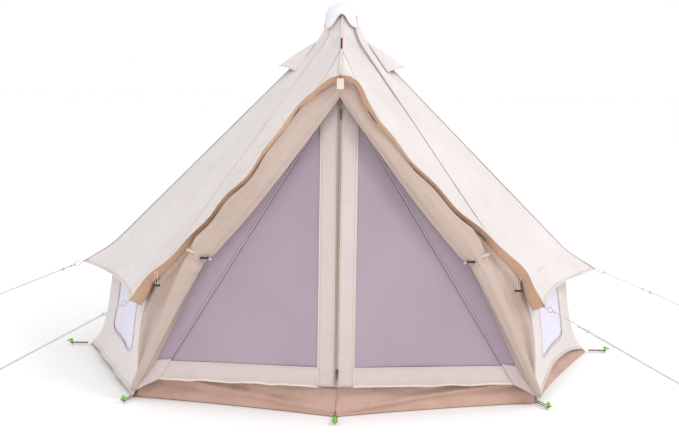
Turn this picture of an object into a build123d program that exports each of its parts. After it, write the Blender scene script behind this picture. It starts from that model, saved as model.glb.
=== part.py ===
from build123d import *

import os
from math import cos, radians, sin, tan

os.makedirs("parts", exist_ok=True)

# A bell tent: an eight-sided canvas cone over a centre pole, low walls, a groundsheet
# and a porch with two mesh doors under an A-shaped door pole.
# Origin: on the ground, on the centre pole's axis. +Z is up and the doors face -Y.

# ---- driving dimensions, in millimetres and degrees ----
CORNER_ANGLES = [0, 43, 90, 135, 180, 225, 270, 317]  # from the door, seen from above
WALL_SIDES = range(1, 7)  # the walls and roof gores between corner n and the next one
WINDOW_SIDES = [1, 3, 4, 6]
VENT_ANGLES = [90, 180, 270]

ground_radius = 1500.0
porch_reach = 1390.0  # centre pole to the groundsheet's front corner
wall_top_radius = 1350.0
wall_top_height = 620.0
eave_radius = 1530.0
eave_height = 510.0
shoulder_radius = 140.0  # where the roof turns up into its steep top
shoulder_height = 1830.0
crown_radius = 64.0
crown_height = 1985.0
tent_height = 2050.0

canvas = 3.0
mesh = 1.2
seam_gap = 1.5
groundsheet_side = 84.0
porch_sill = 130.0

ridge_start = Vector(0, -150, 1835)
awning_tip = Vector(0, -1270, 1650)
awning_shoulder = Vector(150, -1262, 1565)

door_foot = Vector(893, -1142, 115)
door_centre = Vector(0.5, -1398, 155)
door_top = Vector(4, -1150, 1560)
zip_band_width = 90.0
sill_band_height = 92.0
zip_width = 4.0

window_width, window_height, window_radius = 640.0, 300.0, 45.0
window_sill = 165.0

pole_diameter, pole_wall = 32.0, 1.5
door_pole_diameter, door_pole_wall = 22.0, 1.2
door_pole_foot = Vector(955, -1035, 14)
door_pole_peak = Vector(0, -1110, 1714)  # where the two legs would cross
door_bend_radius = 70.0
spigot_length = 60.0
spigot_clearance = 0.3
spigot_collar = 12.0

ring_radius, ring_wire = 14.0, 2.5
ring_centre_radius, ring_height = 1562.0, 497.0
rope_diameter = 5.0
guy_reach = 1170.0  # level distance from an eave ring to its peg
front_guy_angle = 58.0
runner_distance = {"left": 90.0, "right": 320.0, "front_left": 110.0, "front_right": 210.0}
rope_tail = 45.0
peg_diameter, peg_length, peg_lean = 7.0, 190.0, 14.0
peg_stub = 22.0  # the rod left above its line on the ground
peg_gap = 100.0  # from a corner of the groundsheet out to its peg
front_peg_pull = 1400.0  # moves the point that the pegs beside the doors lean away from
loop_length, loop_width, loop_band, loop_thickness = 110.0, 24.0, 5.0, 3.0
loop_setback, loop_height = 39.0, 12.0
rope_peg_height = 13.0

pieces = {}


# ---- helpers ----
def compass(angle, radius, height):
    """A point at an angle round the tent, measured from the door towards +X."""
    return Vector(radius * sin(radians(angle)), -radius * cos(radians(angle)), height)


def corner(index, radius, height):
    return compass(CORNER_ANGLES[index % 8], radius, height)


def on_wall(index, height):
    """A point on the leaning edge between two walls."""
    lean = (ground_radius - wall_top_radius) / wall_top_height
    return corner(index, ground_radius - lean * height, height)


def mirrored(point, side):
    """The point as it stands for the right-hand side, moved to side +1 or -1."""
    return Vector(side * point.X, point.Y, point.Z)


def between(a, b, share):
    return a + (b - a) * share


def sheet_plane(points, facing):
    """A plane through the first three points whose normal looks the way of facing."""
    normal = (points[1] - points[0]).cross(points[2] - points[0])
    if normal.dot(facing) < 0:
        normal = normal * -1
    return Plane(origin=points[0], x_dir=points[1] - points[0], z_dir=normal)


def panel(points, thickness, facing, gap=seam_gap):
    """Add a flat sheet with the given corners, thickened the way of facing."""
    plane = sheet_plane(points, facing)
    flat = [plane.to_local_coords(p) for p in points]
    with BuildSketch(plane) as outline:
        with BuildLine():
            Polyline(*[(p.X, p.Y) for p in flat], close=True)
        make_face()
        offset(amount=-gap, kind=Kind.INTERSECTION)
    extrude(outline.sketch, amount=thickness)


def outward(index):
    return compass(CORNER_ANGLES[index % 8] + 22.5, 1, 0)


def tube(start, end, diameter, wall, spigot=0.0):
    """Add a straight tube, with a swaged spigot past its end for the next section."""
    length = (end - start).length
    inner = diameter / 2 - wall
    plug = inner - spigot_clearance
    plane = Plane(origin=start, z_dir=end - start)
    with BuildSketch(plane) as barrel:
        Circle(diameter / 2)
        Circle(inner, mode=Mode.SUBTRACT)
    extrude(barrel.sketch, amount=length)
    if spigot:
        collar_plane = plane.offset(length - spigot_collar)
        with BuildSketch(collar_plane) as collar:
            Circle(inner)
            Circle(plug - wall, mode=Mode.SUBTRACT)
        extrude(collar.sketch, amount=spigot_collar)
        with BuildSketch(collar_plane) as stem:
            Circle(plug)
            Circle(plug - wall, mode=Mode.SUBTRACT)
        extrude(stem.sketch, amount=spigot_collar + spigot)


# ---- groundsheet ----
porch_corner = Vector(0, -porch_reach, 0)
ground_corners = [porch_corner] + [corner(i, ground_radius, 0) for i in range(1, 8)]

with BuildPart() as groundsheet_floor:
    with BuildSketch():
        with BuildLine():
            Polyline(*[(p.X, p.Y) for p in ground_corners], close=True)
        make_face()
        offset(amount=-6, kind=Kind.INTERSECTION)
    extrude(amount=2)
pieces["groundsheet_floor"] = groundsheet_floor

with BuildPart() as groundsheet_sides:
    for i in WALL_SIDES:
        edge = [on_wall(i, 4), on_wall(i + 1, 4)]
        top = [on_wall(i + 1, groundsheet_side), on_wall(i, groundsheet_side)]
        panel(edge + top, canvas, -outward(i))
    for i in (1, 7):
        a, b = ground_corners[i], ground_corners[0]
        low, high = Vector(0, 0, 4), Vector(0, 0, porch_sill)
        panel([a + low, b + low, b + high, a + high], canvas, Vector(0, 1, 0), gap=3.0)
pieces["groundsheet_sides"] = groundsheet_sides

# ---- walls and their windows ----
def window_plane(index):
    """The wall's own plane, with its origin at the window's centre."""
    height = window_sill + window_height / 2
    a, b = on_wall(index, height), on_wall(index + 1, height)
    up = on_wall(index, height + 100) - on_wall(index, height)
    return Plane(origin=(a + b) / 2, x_dir=b - a, z_dir=(b - a).cross(up))


with BuildPart() as wall_panels:
    for i in WALL_SIDES:
        bottom, top = groundsheet_side + 4, wall_top_height - 10
        outline = [on_wall(i, bottom), on_wall(i + 1, bottom), on_wall(i + 1, top), on_wall(i, top)]
        panel(outline, canvas, -outward(i), gap=2.5)
    for i in WINDOW_SIDES:
        with BuildSketch(window_plane(i)):
            RectangleRounded(window_width, window_height, window_radius)
        extrude(amount=30, both=True, mode=Mode.SUBTRACT)
pieces["wall_panels"] = wall_panels

with BuildPart() as window_meshes:
    for i in WINDOW_SIDES:
        plane = window_plane(i)
        inward = -1 if plane.z_dir.dot(outward(i)) > 0 else 1
        with BuildSketch(plane.offset(inward)):
            RectangleRounded(window_width - 3, window_height - 3, window_radius - 1.5)
        extrude(amount=inward * mesh)
pieces["window_meshes"] = window_meshes

# ---- roof ----
with BuildPart() as roof_canvas:
    for i in WALL_SIDES:
        lower = [corner(j, wall_top_radius, wall_top_height) for j in (i, i + 1)]
        upper = [corner(j, shoulder_radius, shoulder_height) for j in (i + 1, i)]
        panel(lower + upper, canvas, outward(i) + Vector(0, 0, 1))
    for angle in VENT_ANGLES:
        with Locations(Location(compass(angle, 290, 1680), (0, 0, angle))):
            Box(110, 90, 90, mode=Mode.SUBTRACT)
pieces["roof_canvas"] = roof_canvas

with BuildPart() as roof_top:
    for i in range(8):
        lower = [corner(j, shoulder_radius, shoulder_height + 6) for j in (i, i + 1)]
        upper = [corner(j, crown_radius, crown_height) for j in (i + 1, i)]
        panel(lower + upper, canvas, outward(i))
pieces["roof_top"] = roof_top

with BuildPart() as eave_skirt:
    for i in WALL_SIDES:
        upper = [corner(j, wall_top_radius + 7, wall_top_height - 5) for j in (i, i + 1)]
        lower = [corner(j, eave_radius, eave_height) for j in (i + 1, i)]
        panel(upper + lower, canvas, outward(i) + Vector(0, 0, 1))
pieces["eave_skirt"] = eave_skirt

with BuildPart() as awning:
    for side in (1, -1):
        wall_corner = mirrored(corner(1, wall_top_radius, wall_top_height), side)
        eave_corner = mirrored(corner(1, eave_radius, eave_height), side)
        shoulder = mirrored(corner(1, shoulder_radius, shoulder_height), side)
        arch = mirrored(awning_shoulder, side)
        sky = Vector(0, -0.3, 1)
        panel([ridge_start, awning_tip, arch], canvas, sky)
        panel([ridge_start, arch, wall_corner], canvas, sky)
        panel([ridge_start, wall_corner, shoulder], canvas, sky)
        panel([arch, eave_corner, wall_corner], canvas, sky)
pieces["awning_canvas"] = awning

with BuildPart() as apex_cap:
    with BuildSketch(Plane.XZ):
        with BuildLine():
            l1 = Line((0, tent_height), (20, tent_height))
            l2 = Spline(l1 @ 1, (66, 2020), (84, 1968), tangents=[(1, 0), (0.2, -1)])
            l3 = Line(l2 @ 1, (81, 1968))
            l4 = Spline(l3 @ 1, (62, 2016), (20, tent_height - 4), tangents=[(-0.2, 1), (-1, 0)])
            l5 = Line(l4 @ 1, (0, tent_height - 4))
            Line(l5 @ 1, l1 @ 0)
        make_face()
    revolve(axis=Axis.Z)
pieces["apex_cap"] = apex_cap

# ---- vents: a hood over a mesh screen on three of the roof's seams ----
with BuildPart() as vent_hoods:
    for angle in VENT_ANGLES:
        ridge_top, hood_tip = compass(angle, 178, 1848), compass(angle, 385, 1640)
        for turn in (-23, 23):
            foot = compass(angle + turn, 318, 1655)
            panel([ridge_top, hood_tip, foot], canvas, compass(angle + turn, 1, 1))
pieces["vent_hoods"] = vent_hoods

with BuildPart() as vent_screens:
    for angle in VENT_ANGLES:
        for turn in (-14, 14):
            lower = [compass(angle, 330, 1650), compass(angle + turn, 324, 1650)]
            upper = [compass(angle + turn, 244, 1730), compass(angle, 250, 1730)]
            panel(lower + upper, mesh, compass(angle, 1, 1), gap=1.0)
pieces["vent_screens"] = vent_screens

# ---- doors: each one a mesh triangle in a canvas border, hinged on its outer edge ----


def door_plane(side):
    """The door's plane: origin at its foot, +X along its sill, facing out of the tent."""
    foot, centre = mirrored(door_foot, side), mirrored(door_centre, side)
    return sheet_plane([foot, centre, mirrored(door_top, side)], Vector(0, -1, 0))


def inset_lines(a, b, distance):
    """The line through a and b in the sketch, moved to its left by distance."""
    along = (b - a).normalized()
    shift = Vector(-along.Y, along.X) * distance
    return a + shift, along


def crossing(first, second):
    (p, u), (q, v) = first, second
    share = ((q.X - p.X) * v.Y - (q.Y - p.Y) * v.X) / (u.X * v.Y - u.Y * v.X)
    return p + u * share


def door_strip(plane, outline, thickness):
    with BuildSketch(plane) as shape:
        with BuildLine():
            Polyline(*[(p.X, p.Y) for p in outline], close=True)
        make_face()
    extrude(shape.sketch, amount=thickness)


for side, name in ((1, "right"), (-1, "left")):
    plane = door_plane(side)
    foot, centre, top = (
        plane.to_local_coords(mirrored(p, side)) for p in (door_foot, door_centre, door_top)
    )
    turn = 1 if (centre - foot).cross(top - foot).Z > 0 else -1
    sill = inset_lines(foot, centre, 0)
    sill_band = inset_lines(foot, centre, turn * sill_band_height)
    sill_gap = inset_lines(foot, centre, turn * (sill_band_height + 1))
    zip_edge = inset_lines(centre, top, 0)
    zip_inner = inset_lines(centre, top, turn * zip_width)
    zip_gap = inset_lines(centre, top, turn * (zip_width + 0.5))
    band_edge = inset_lines(centre, top, turn * zip_band_width)
    band_gap = inset_lines(centre, top, turn * (zip_band_width + 1))
    hinge = inset_lines(top, foot, 0)

    with BuildPart() as chain:
        outline = [crossing(sill, zip_edge), crossing(zip_edge, hinge)]
        outline += [crossing(zip_inner, hinge), crossing(sill, zip_inner)]
        door_strip(plane, outline, canvas)
    pieces[f"zip_chain_{name}"] = chain

    with BuildPart() as border:
        outline = [crossing(sill, zip_gap), crossing(zip_gap, hinge)]
        outline += [crossing(band_edge, hinge), crossing(sill, band_edge)]
        door_strip(plane, outline, canvas)
        outline = [foot, crossing(sill, band_gap)]
        outline += [crossing(sill_band, band_gap), crossing(sill_band, hinge)]
        door_strip(plane, outline, canvas)
    pieces[f"door_border_{name}"] = border

    with BuildPart() as door_mesh:
        outline = [crossing(sill_gap, hinge), crossing(sill_gap, band_gap)]
        outline += [crossing(band_gap, hinge)]
        door_strip(plane, outline, mesh)
    pieces[f"door_mesh_{name}"] = door_mesh

# ---- door surround: fixed side mesh, canvas jambs and the tied-back outer flaps ----
side_bulge = Vector(618, -1148, 745)
jamb_peak = Vector(10, -1150, 1655)
for side, name in ((1, "right"), (-1, "left")):
    foot, top = mirrored(door_foot, side), mirrored(door_top, side)
    bulge, peak = mirrored(side_bulge, side), mirrored(jamb_peak, side)
    out = Vector(side * 10, 0, 6)
    with BuildPart() as side_mesh:
        panel([foot + out, bulge, top + out], mesh, Vector(0, 1, 0))
    pieces[f"side_mesh_{name}"] = side_mesh

    clear = Vector(side * 5, 0, 4)
    low = foot + Vector(side * 20, 0, porch_sill + 8 - foot.Z)
    ground = mirrored(Vector(1002, -1092, porch_sill + 8), side)
    wall_corner = mirrored(corner(1, wall_top_radius - 14, wall_top_height - 20), side)
    with BuildPart() as jamb:
        panel([low, ground, wall_corner], canvas, Vector(0, 1, 0))
        panel([low, wall_corner, bulge + clear], canvas, Vector(0, 1, 0))
        panel([bulge + clear, wall_corner, peak + clear], canvas, Vector(0, 1, 0))
    pieces[f"door_jamb_{name}"] = jamb

flap_front, flap_thickness = 1168.0, 40.0
flap_upper = [(30, 1560), (92, 1560), (740, 798), (622, 748)]
flap_lower = [(622, 736), (742, 790), (900, 480), (1012, 62), (972, 56), (880, 190)]
for side, name in ((1, "right"), (-1, "left")):
    with BuildPart() as flap:
        for outline in (flap_upper, flap_lower):
            with BuildSketch(Plane(origin=(0, -flap_front, 0), x_dir=(1, 0, 0), z_dir=(0, -1, 0))):
                with BuildLine():
                    Polyline(*[(side * x, z) for x, z in outline], close=True)
                make_face()
            extrude(amount=flap_thickness)
    pieces[f"door_flap_{name}"] = flap

flap_face = -(flap_front + flap_thickness)
with BuildPart() as flap_ties:
    for side in (1, -1):
        with Locations(Location((side * 682, flap_face - 1.5, 762), (0, -side * 22, 0))):
            Box(132, 2, 12)
pieces["flap_ties"] = flap_ties

toggle_diameter, toggle_length = 12.0, 44.0
with BuildPart() as tie_toggles:
    for side in (1, -1):
        with Locations(Location((side * 655, flap_face - 9.5, 746), (0, 90, 0))):
            Cylinder(toggle_diameter / 2, toggle_length)
    fillet(tie_toggles.edges(), 2.5)
pieces["tie_toggles"] = tie_toggles

hanging_toggle = Vector(900, -1165, 596)
toggle_loop_top = 664.0
for side, name in ((1, "right"), (-1, "left")):
    spot = mirrored(hanging_toggle, side)
    with BuildPart() as toggle:
        with Locations(Location((spot.X, spot.Y, spot.Z), (0, 90, 0))):
            Cylinder(toggle_diameter / 2, 38)
        fillet(toggle.edges(), 2.5)
    pieces[f"hanging_toggle_{name}"] = toggle

    loop_low = spot.Z + toggle_diameter / 2 + 0.3
    with BuildPart() as loop:
        with Locations((spot.X, spot.Y, (loop_low + toggle_loop_top) / 2)):
            Box(14, 2.4, toggle_loop_top - loop_low)
            Box(9, 2.4, toggle_loop_top - loop_low - 5, mode=Mode.SUBTRACT)
    pieces[f"toggle_loop_{name}"] = loop

# ---- zip sliders: they run in front of the right-hand half of the zip ----
zip_line = mirrored(door_top, 1) - mirrored(door_centre, 1)
zip_up = Vector(0, zip_line.Y, zip_line.Z).normalized()
for name, share in (("lower", 0.045), ("upper", 0.93)):
    spot = between(door_centre, door_top, share) - Vector(0, 5.2, 0)
    plane = Plane(origin=(6.6, spot.Y, spot.Z), x_dir=(1, 0, 0), z_dir=zip_up)
    with BuildPart() as slider:
        with BuildSketch(plane):
            RectangleRounded(11, 4.4, 1.6)
        extrude(amount=22)
        with BuildSketch(plane.offset(-30)):
            with Locations((0, 3.6 if plane.y_dir.Y < 0 else -3.6)):
                RectangleRounded(7, 2.2, 0.8)
        extrude(amount=46)
    pieces[f"zip_slider_{name}"] = slider

# ---- centre pole: three plugged sections, a foot and a cap ----
pole_joints = [26.0, 690.0, 1350.0, 2012.0]
for name, low, high in zip(("lower", "middle", "upper"), pole_joints, pole_joints[1:]):
    last = name == "upper"
    with BuildPart() as section:
        start, end = Vector(0, 0, low + 0.4), Vector(0, 0, high - 0.4)
        tube(start, end, pole_diameter, pole_wall, 0 if last else spigot_length)
    pieces[f"centre_pole_{name}"] = section

with BuildPart() as pole_foot:
    with BuildSketch(Plane.XY.offset(2.4)):
        Circle(28)
    extrude(amount=5)
    with BuildSketch(Plane.XY.offset(7.4)):
        Circle(20)
    extrude(amount=32)
    with BuildSketch(Plane.XY.offset(25)):
        Circle(pole_diameter / 2 + 0.3)
    extrude(amount=20, mode=Mode.SUBTRACT)
    fillet(pole_foot.edges().filter_by(GeomType.CIRCLE).group_by(Axis.Z)[-1], 1.2)
pieces["centre_pole_foot"] = pole_foot

with BuildPart() as pole_cap:
    with BuildSketch(Plane.XY.offset(1990)):
        Circle(21)
    extrude(amount=45)
    with BuildSketch(Plane.XY.offset(1985)):
        Circle(pole_diameter / 2 + 0.3)
    extrude(amount=28, mode=Mode.SUBTRACT)
    fillet(pole_cap.edges().group_by(Axis.Z)[-1], 9)
pieces["centre_pole_cap"] = pole_cap

# ---- door pole: a bent crown, an upper and a lower section on each side, and feet ----
leg_vector = door_pole_foot - door_pole_peak
leg_length = leg_vector.length
half_angle_sin = abs(leg_vector.X) / leg_length
crown_arm = 380.0  # from the legs' crossing point to the end of the bend's straight arm


def on_leg(side, distance):
    return mirrored(door_pole_peak + leg_vector.normalized() * distance, side)


with BuildPart() as door_pole_bend:
    ends = [on_leg(side, crown_arm) for side in (-1, 1)]
    with BuildLine() as bend_path:
        FilletPolyline(ends[0], door_pole_peak, ends[1], radius=door_bend_radius)
    with BuildSketch(Plane(origin=ends[0], z_dir=door_pole_peak - ends[0])):
        Circle(door_pole_diameter / 2)
        Circle(door_pole_diameter / 2 - door_pole_wall, mode=Mode.SUBTRACT)
    sweep(path=bend_path.line)
pieces["door_pole_bend"] = door_pole_bend

leg_joints = [leg_length, (leg_length + crown_arm) / 2, crown_arm]
for side, hand in ((1, "right"), (-1, "left")):
    for name, start, end in zip(("lower", "upper"), leg_joints, leg_joints[1:]):
        with BuildPart() as section:
            low, high = on_leg(side, start - 0.4), on_leg(side, end + 0.4)
            tube(low, high, door_pole_diameter, door_pole_wall, spigot_length)
        pieces[f"door_pole_{name}_{hand}"] = section

with BuildPart() as door_pole_feet:
    for side in (1, -1):
        base = on_leg(side, leg_length)
        plane = Plane(origin=base, z_dir=on_leg(side, 0) - base)
        with BuildSketch(plane.offset(-5)):
            Circle(15)
        extrude(amount=35)
        with BuildSketch(plane):
            Circle(door_pole_diameter / 2 + 0.3)
        extrude(amount=31, mode=Mode.SUBTRACT)
pieces["door_pole_feet"] = door_pole_feet

# ---- small sewn parts on the roof ----
with BuildPart() as ridge_tab:
    with Locations((0, -505, 1812)):
        Box(11, 2, 58)
pieces["ridge_tab"] = ridge_tab

with BuildPart() as awning_tab:
    with Locations((2, -1262, 1607)):
        Box(34, 3, 52)
pieces["awning_tab"] = awning_tab

# ---- eave rings, peg loops and pegs ----
RING_CORNERS = range(1, 8)
with BuildPart() as eave_tabs:
    for i in RING_CORNERS:
        outer = corner(i, ring_centre_radius - ring_radius - 5, ring_height)
        inner = corner(i, ring_centre_radius - ring_radius - 75, ring_height + 40)
        width = compass(CORNER_ANGLES[i] + 90, 11, 0)
        panel([outer - width, outer + width, inner + width, inner - width], 2.0, Vector(0, 0, -1), 0.2)
pieces["eave_tabs"] = eave_tabs

with BuildPart() as eave_rings:
    for i in RING_CORNERS:
        spot = corner(i, ring_centre_radius, ring_height)
        tangent = compass(CORNER_ANGLES[i] + 90, 1, 0)
        with Locations(Plane(origin=spot, z_dir=tangent).location):
            Torus(ring_radius, ring_wire / 2)
pieces["eave_rings"] = eave_rings


def guy_points(name):
    """The middle line of a guy: its ring, its peg and the level way across it."""
    side = 1 if name.endswith("right") else -1
    index = 1 if name.startswith("front") else 2
    ring = mirrored(corner(index, ring_centre_radius, ring_height), side)
    angle = front_guy_angle if name.startswith("front") else 90
    peg = ring + mirrored(compass(angle, guy_reach, 0), side)
    peg.Z = rope_peg_height
    along = (peg - ring).normalized()
    start = ring + along * (ring_radius + 8)
    across = Vector(-along.Y, along.X, 0).normalized()
    return start, peg, along, across, compass_of(peg - ring)


def compass_of(direction):
    """The level unit vector of a direction."""
    return Vector(direction.X, direction.Y, 0).normalized()


def peg_axis(ground, away):
    """A peg's lowest and highest point, leaning away from the tent."""
    tilt = (away * sin(radians(peg_lean)) + Vector(0, 0, cos(radians(peg_lean)))).normalized()
    return ground - tilt * peg_length, tilt


corner_pegs = []
for i, spot in enumerate(ground_corners):
    pull = front_peg_pull if i in (1, 7) else 0
    away = compass_of(spot + Vector(0, -pull, 0))
    corner_pegs.append((spot + away * peg_gap, away))
guys = {name: guy_points(name) for name in runner_distance}
rope_lean = rope_peg_height * tan(radians(peg_lean))
guy_pegs = [
    (Vector(peg.X, peg.Y, 0) - away * rope_lean, away) for _, peg, _, _, away in guys.values()
]
all_pegs = corner_pegs + guy_pegs

with BuildPart() as ground_pegs:
    for ground, away in all_pegs:
        low, tilt = peg_axis(ground, away)
        with BuildSketch(Plane(origin=low, z_dir=tilt)):
            Circle(peg_diameter / 2)
        extrude(amount=peg_length + peg_stub)
pieces["ground_pegs"] = ground_pegs

with BuildPart() as peg_heads:
    for ground, away in all_pegs:
        low, tilt = peg_axis(ground, away)
        top = low + tilt * (peg_length + peg_stub + 0.2)
        with BuildSketch(Plane(origin=top, z_dir=tilt)):
            Circle(9)
        extrude(amount=16)
        nib = top + tilt * 8 + away * 4
        with BuildSketch(Plane(origin=nib, z_dir=away - Vector(0, 0, 0.35))):
            Circle(5.5)
        extrude(amount=20)
pieces["peg_heads"] = peg_heads

with BuildPart() as peg_loops:
    for ground, away in corner_pegs:
        middle = ground - away * loop_setback + Vector(0, 0, loop_height)
        with BuildSketch(Plane(origin=middle, x_dir=away, z_dir=(0, 0, 1))):
            SlotOverall(loop_length, loop_width)
            SlotOverall(loop_length - 2 * loop_band, loop_width - 2 * loop_band, mode=Mode.SUBTRACT)
        extrude(amount=loop_thickness)
pieces["peg_loops"] = peg_loops

# ---- guy ropes: ring to peg, round it, and back through a runner ----
rope_turn = peg_diameter / 2 + rope_diameter / 2 + 0.4
knot_radius = 7.0
rope_ends = []
for name, (start, peg, along, across, away) in guys.items():
    shift = across * rope_turn
    far = peg + along * rope_turn
    back = ring_radius + 8
    tail_end = start + along * (runner_distance[name] - rope_tail - back)
    route = [start + shift, far + shift, far - shift, tail_end - shift]
    with BuildPart() as rope:
        with BuildLine() as rope_path:
            FilletPolyline(*route, radius=rope_turn - 0.05)
        with BuildSketch(Plane(origin=route[0], z_dir=along)):
            Circle(rope_diameter / 2)
        sweep(path=rope_path.line)
    pieces[f"guy_rope_{name}"] = rope
    rope_ends += [route[0], route[-1]]
    print(name, "rope", round(rope_path.wires()[0].length), "mm, turn radius", round(rope_turn - 0.05, 2))

    spot = start + along * (runner_distance[name] - back)
    with BuildPart() as runner:
        with BuildSketch(Plane(origin=spot, x_dir=across, z_dir=along)):
            SlotOverall(34, 14)
            with Locations((rope_turn, 0), (-rope_turn, 0)):
                Circle(rope_diameter / 2 + 0.8, mode=Mode.SUBTRACT)
        extrude(amount=10)
    pieces[f"guy_runner_{name}"] = runner

with BuildPart() as guy_knots:
    with Locations(*[Location((p.X, p.Y, p.Z)) for p in rope_ends]):
        Sphere(knot_radius)
pieces["guy_knots"] = guy_knots

# ---- write each piece ----
for name, piece in pieces.items():
    piece.part.label = name
    export_step(piece.part, f"parts/{name}.step")
print(len(pieces), "nodes")
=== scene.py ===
"""Looks of a canvas bell tent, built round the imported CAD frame.

Everything is in metres, in the frame's own axes: the centre pole stands on the origin,
+Z is up and the doors face -Y.
"""
from __future__ import annotations

import logging
import math
from dataclasses import dataclass, field
from enum import Enum
from typing import Sequence

import bmesh
import bpy
import numpy as np
from mathutils import Matrix


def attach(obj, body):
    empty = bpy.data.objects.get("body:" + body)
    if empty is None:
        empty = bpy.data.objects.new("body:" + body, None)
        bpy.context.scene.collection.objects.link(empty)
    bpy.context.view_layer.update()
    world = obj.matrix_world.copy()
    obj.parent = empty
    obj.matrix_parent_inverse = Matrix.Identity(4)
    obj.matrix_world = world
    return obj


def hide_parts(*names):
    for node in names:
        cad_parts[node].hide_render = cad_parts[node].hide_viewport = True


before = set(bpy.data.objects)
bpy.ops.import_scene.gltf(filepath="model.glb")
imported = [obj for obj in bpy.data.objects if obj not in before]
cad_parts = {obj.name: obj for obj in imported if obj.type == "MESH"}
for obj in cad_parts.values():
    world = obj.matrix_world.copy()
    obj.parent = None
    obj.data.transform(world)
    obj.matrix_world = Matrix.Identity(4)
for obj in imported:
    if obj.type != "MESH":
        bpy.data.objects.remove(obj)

Grid = np.ndarray  # points, rows by columns by 3
Run = np.ndarray  # points in a line, n by 3
Pair = tuple[float, float]
Tree = bpy.types.NodeTree
Node = bpy.types.Node
Socket = bpy.types.NodeSocket
Piece = bpy.types.Object

LOG = logging.getLogger("bell_tent")
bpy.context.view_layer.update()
MM = 0.001
UP = np.array([0.0, 0.0, 1.0])
FORWARD = np.array([0.0, -1.0, 0.0])  # the way the doors face
LEVEL = np.array([1.0, 1.0, 0.0])  # flattens a vector


# ---------------------------------------------------------------- node helpers
def linear(code: str) -> tuple[float, float, float, float]:
    """Turn an sRGB hex colour into linear light.

    Args:
        code: Six hex digits, such as "E6DDD3".

    Returns:
        Red, green, blue and an alpha of 1.
    """
    parts = [int(code[i : i + 2], 16) / 255 for i in (0, 2, 4)]
    light = [c / 12.92 if c <= 0.04045 else ((c + 0.055) / 1.055) ** 2.4 for c in parts]
    return (*light, 1.0)


def add_node(tree: Tree, kind: str, inputs: dict | None = None, **settings: object) -> Node:
    """Add a node with its settings, values and links.

    Args:
        tree: The node tree to add to.
        kind: The node's Blender type name; a shader node's goes without its ShaderNode.
        inputs: Socket name or index, with a value or the socket that feeds it.
        settings: Attributes of the node itself.

    Returns:
        The new node.
    """
    made = tree.nodes.new(kind if "Node" in kind else f"ShaderNode{kind}")
    for key, value in settings.items():
        setattr(made, key, value)
    for key, value in (inputs or {}).items():
        if isinstance(value, Socket):
            tree.links.new(value, made.inputs[key])
        else:
            made.inputs[key].default_value = value
    return made


# ---------------------------------------------------------------- finishes
@dataclass(frozen=True)
class Finish:
    """A surface finish. Subclasses add their own pattern in dress()."""

    name: str
    colour: str
    roughness: float = 0.8
    metallic: float = 0.0

    def material(self) -> bpy.types.Material:
        """Return the Blender material, made once and then reused."""
        found = bpy.data.materials.get(self.name)
        if found:
            return found
        made = bpy.data.materials.new(self.name)
        made.use_nodes = True
        tree = made.node_tree
        shader = tree.nodes["Principled BSDF"]
        shader.inputs["Base Color"].default_value = linear(self.colour)
        shader.inputs["Roughness"].default_value = self.roughness
        shader.inputs["Metallic"].default_value = self.metallic
        made.diffuse_color = linear(self.colour)
        self.dress(tree, shader)
        return made

    def dress(self, tree: Tree, shader: Node) -> None:
        """Add the finish's own pattern; the plain finish has none."""

    def mottle(self, tree: Tree, vector: Socket, other: str, per_metre: float, share: float) -> Socket:
        """Vary the base colour softly towards another one.

        Args:
            tree: The material's tree.
            vector: The coordinates that the pattern follows.
            other: The hex colour of the darker or worn patches.
            per_metre: How many patches there are in a metre.
            share: The most of the other colour that shows.

        Returns:
            The mixed colour's socket.
        """
        noise = add_node(tree, "TexNoise", {"Vector": vector, "Scale": per_metre, "Detail": 5.0})
        ramp = add_node(
            tree, "MapRange",
            {"Value": noise.outputs["Fac"], "From Min": 0.35, "From Max": 0.75, "To Max": share},
        )
        mix = add_node(
            tree, "Mix",
            {0: ramp.outputs["Result"], 6: linear(self.colour), 7: linear(other)},
            data_type="RGBA",
        )
        return mix.outputs[2]


def wave_scale(spacing: float) -> float:
    """Give the Wave texture's scale for bands this far apart, in metres."""
    return math.tau / (20 * spacing)


def crossed_bands(tree: Tree, flat: Socket, spacing: float, how: str) -> Node:
    """Lay bands along both ways of the cloth and put them together as the Math node's mode says."""
    scale = wave_scale(spacing)
    bands = [
        add_node(tree, "TexWave", {"Vector": flat, "Scale": scale}, bands_direction=way)
        for way in ("X", "Y")
    ]
    return add_node(tree, "Math", {0: bands[0].outputs["Fac"], 1: bands[1].outputs["Fac"]}, operation=how)


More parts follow.
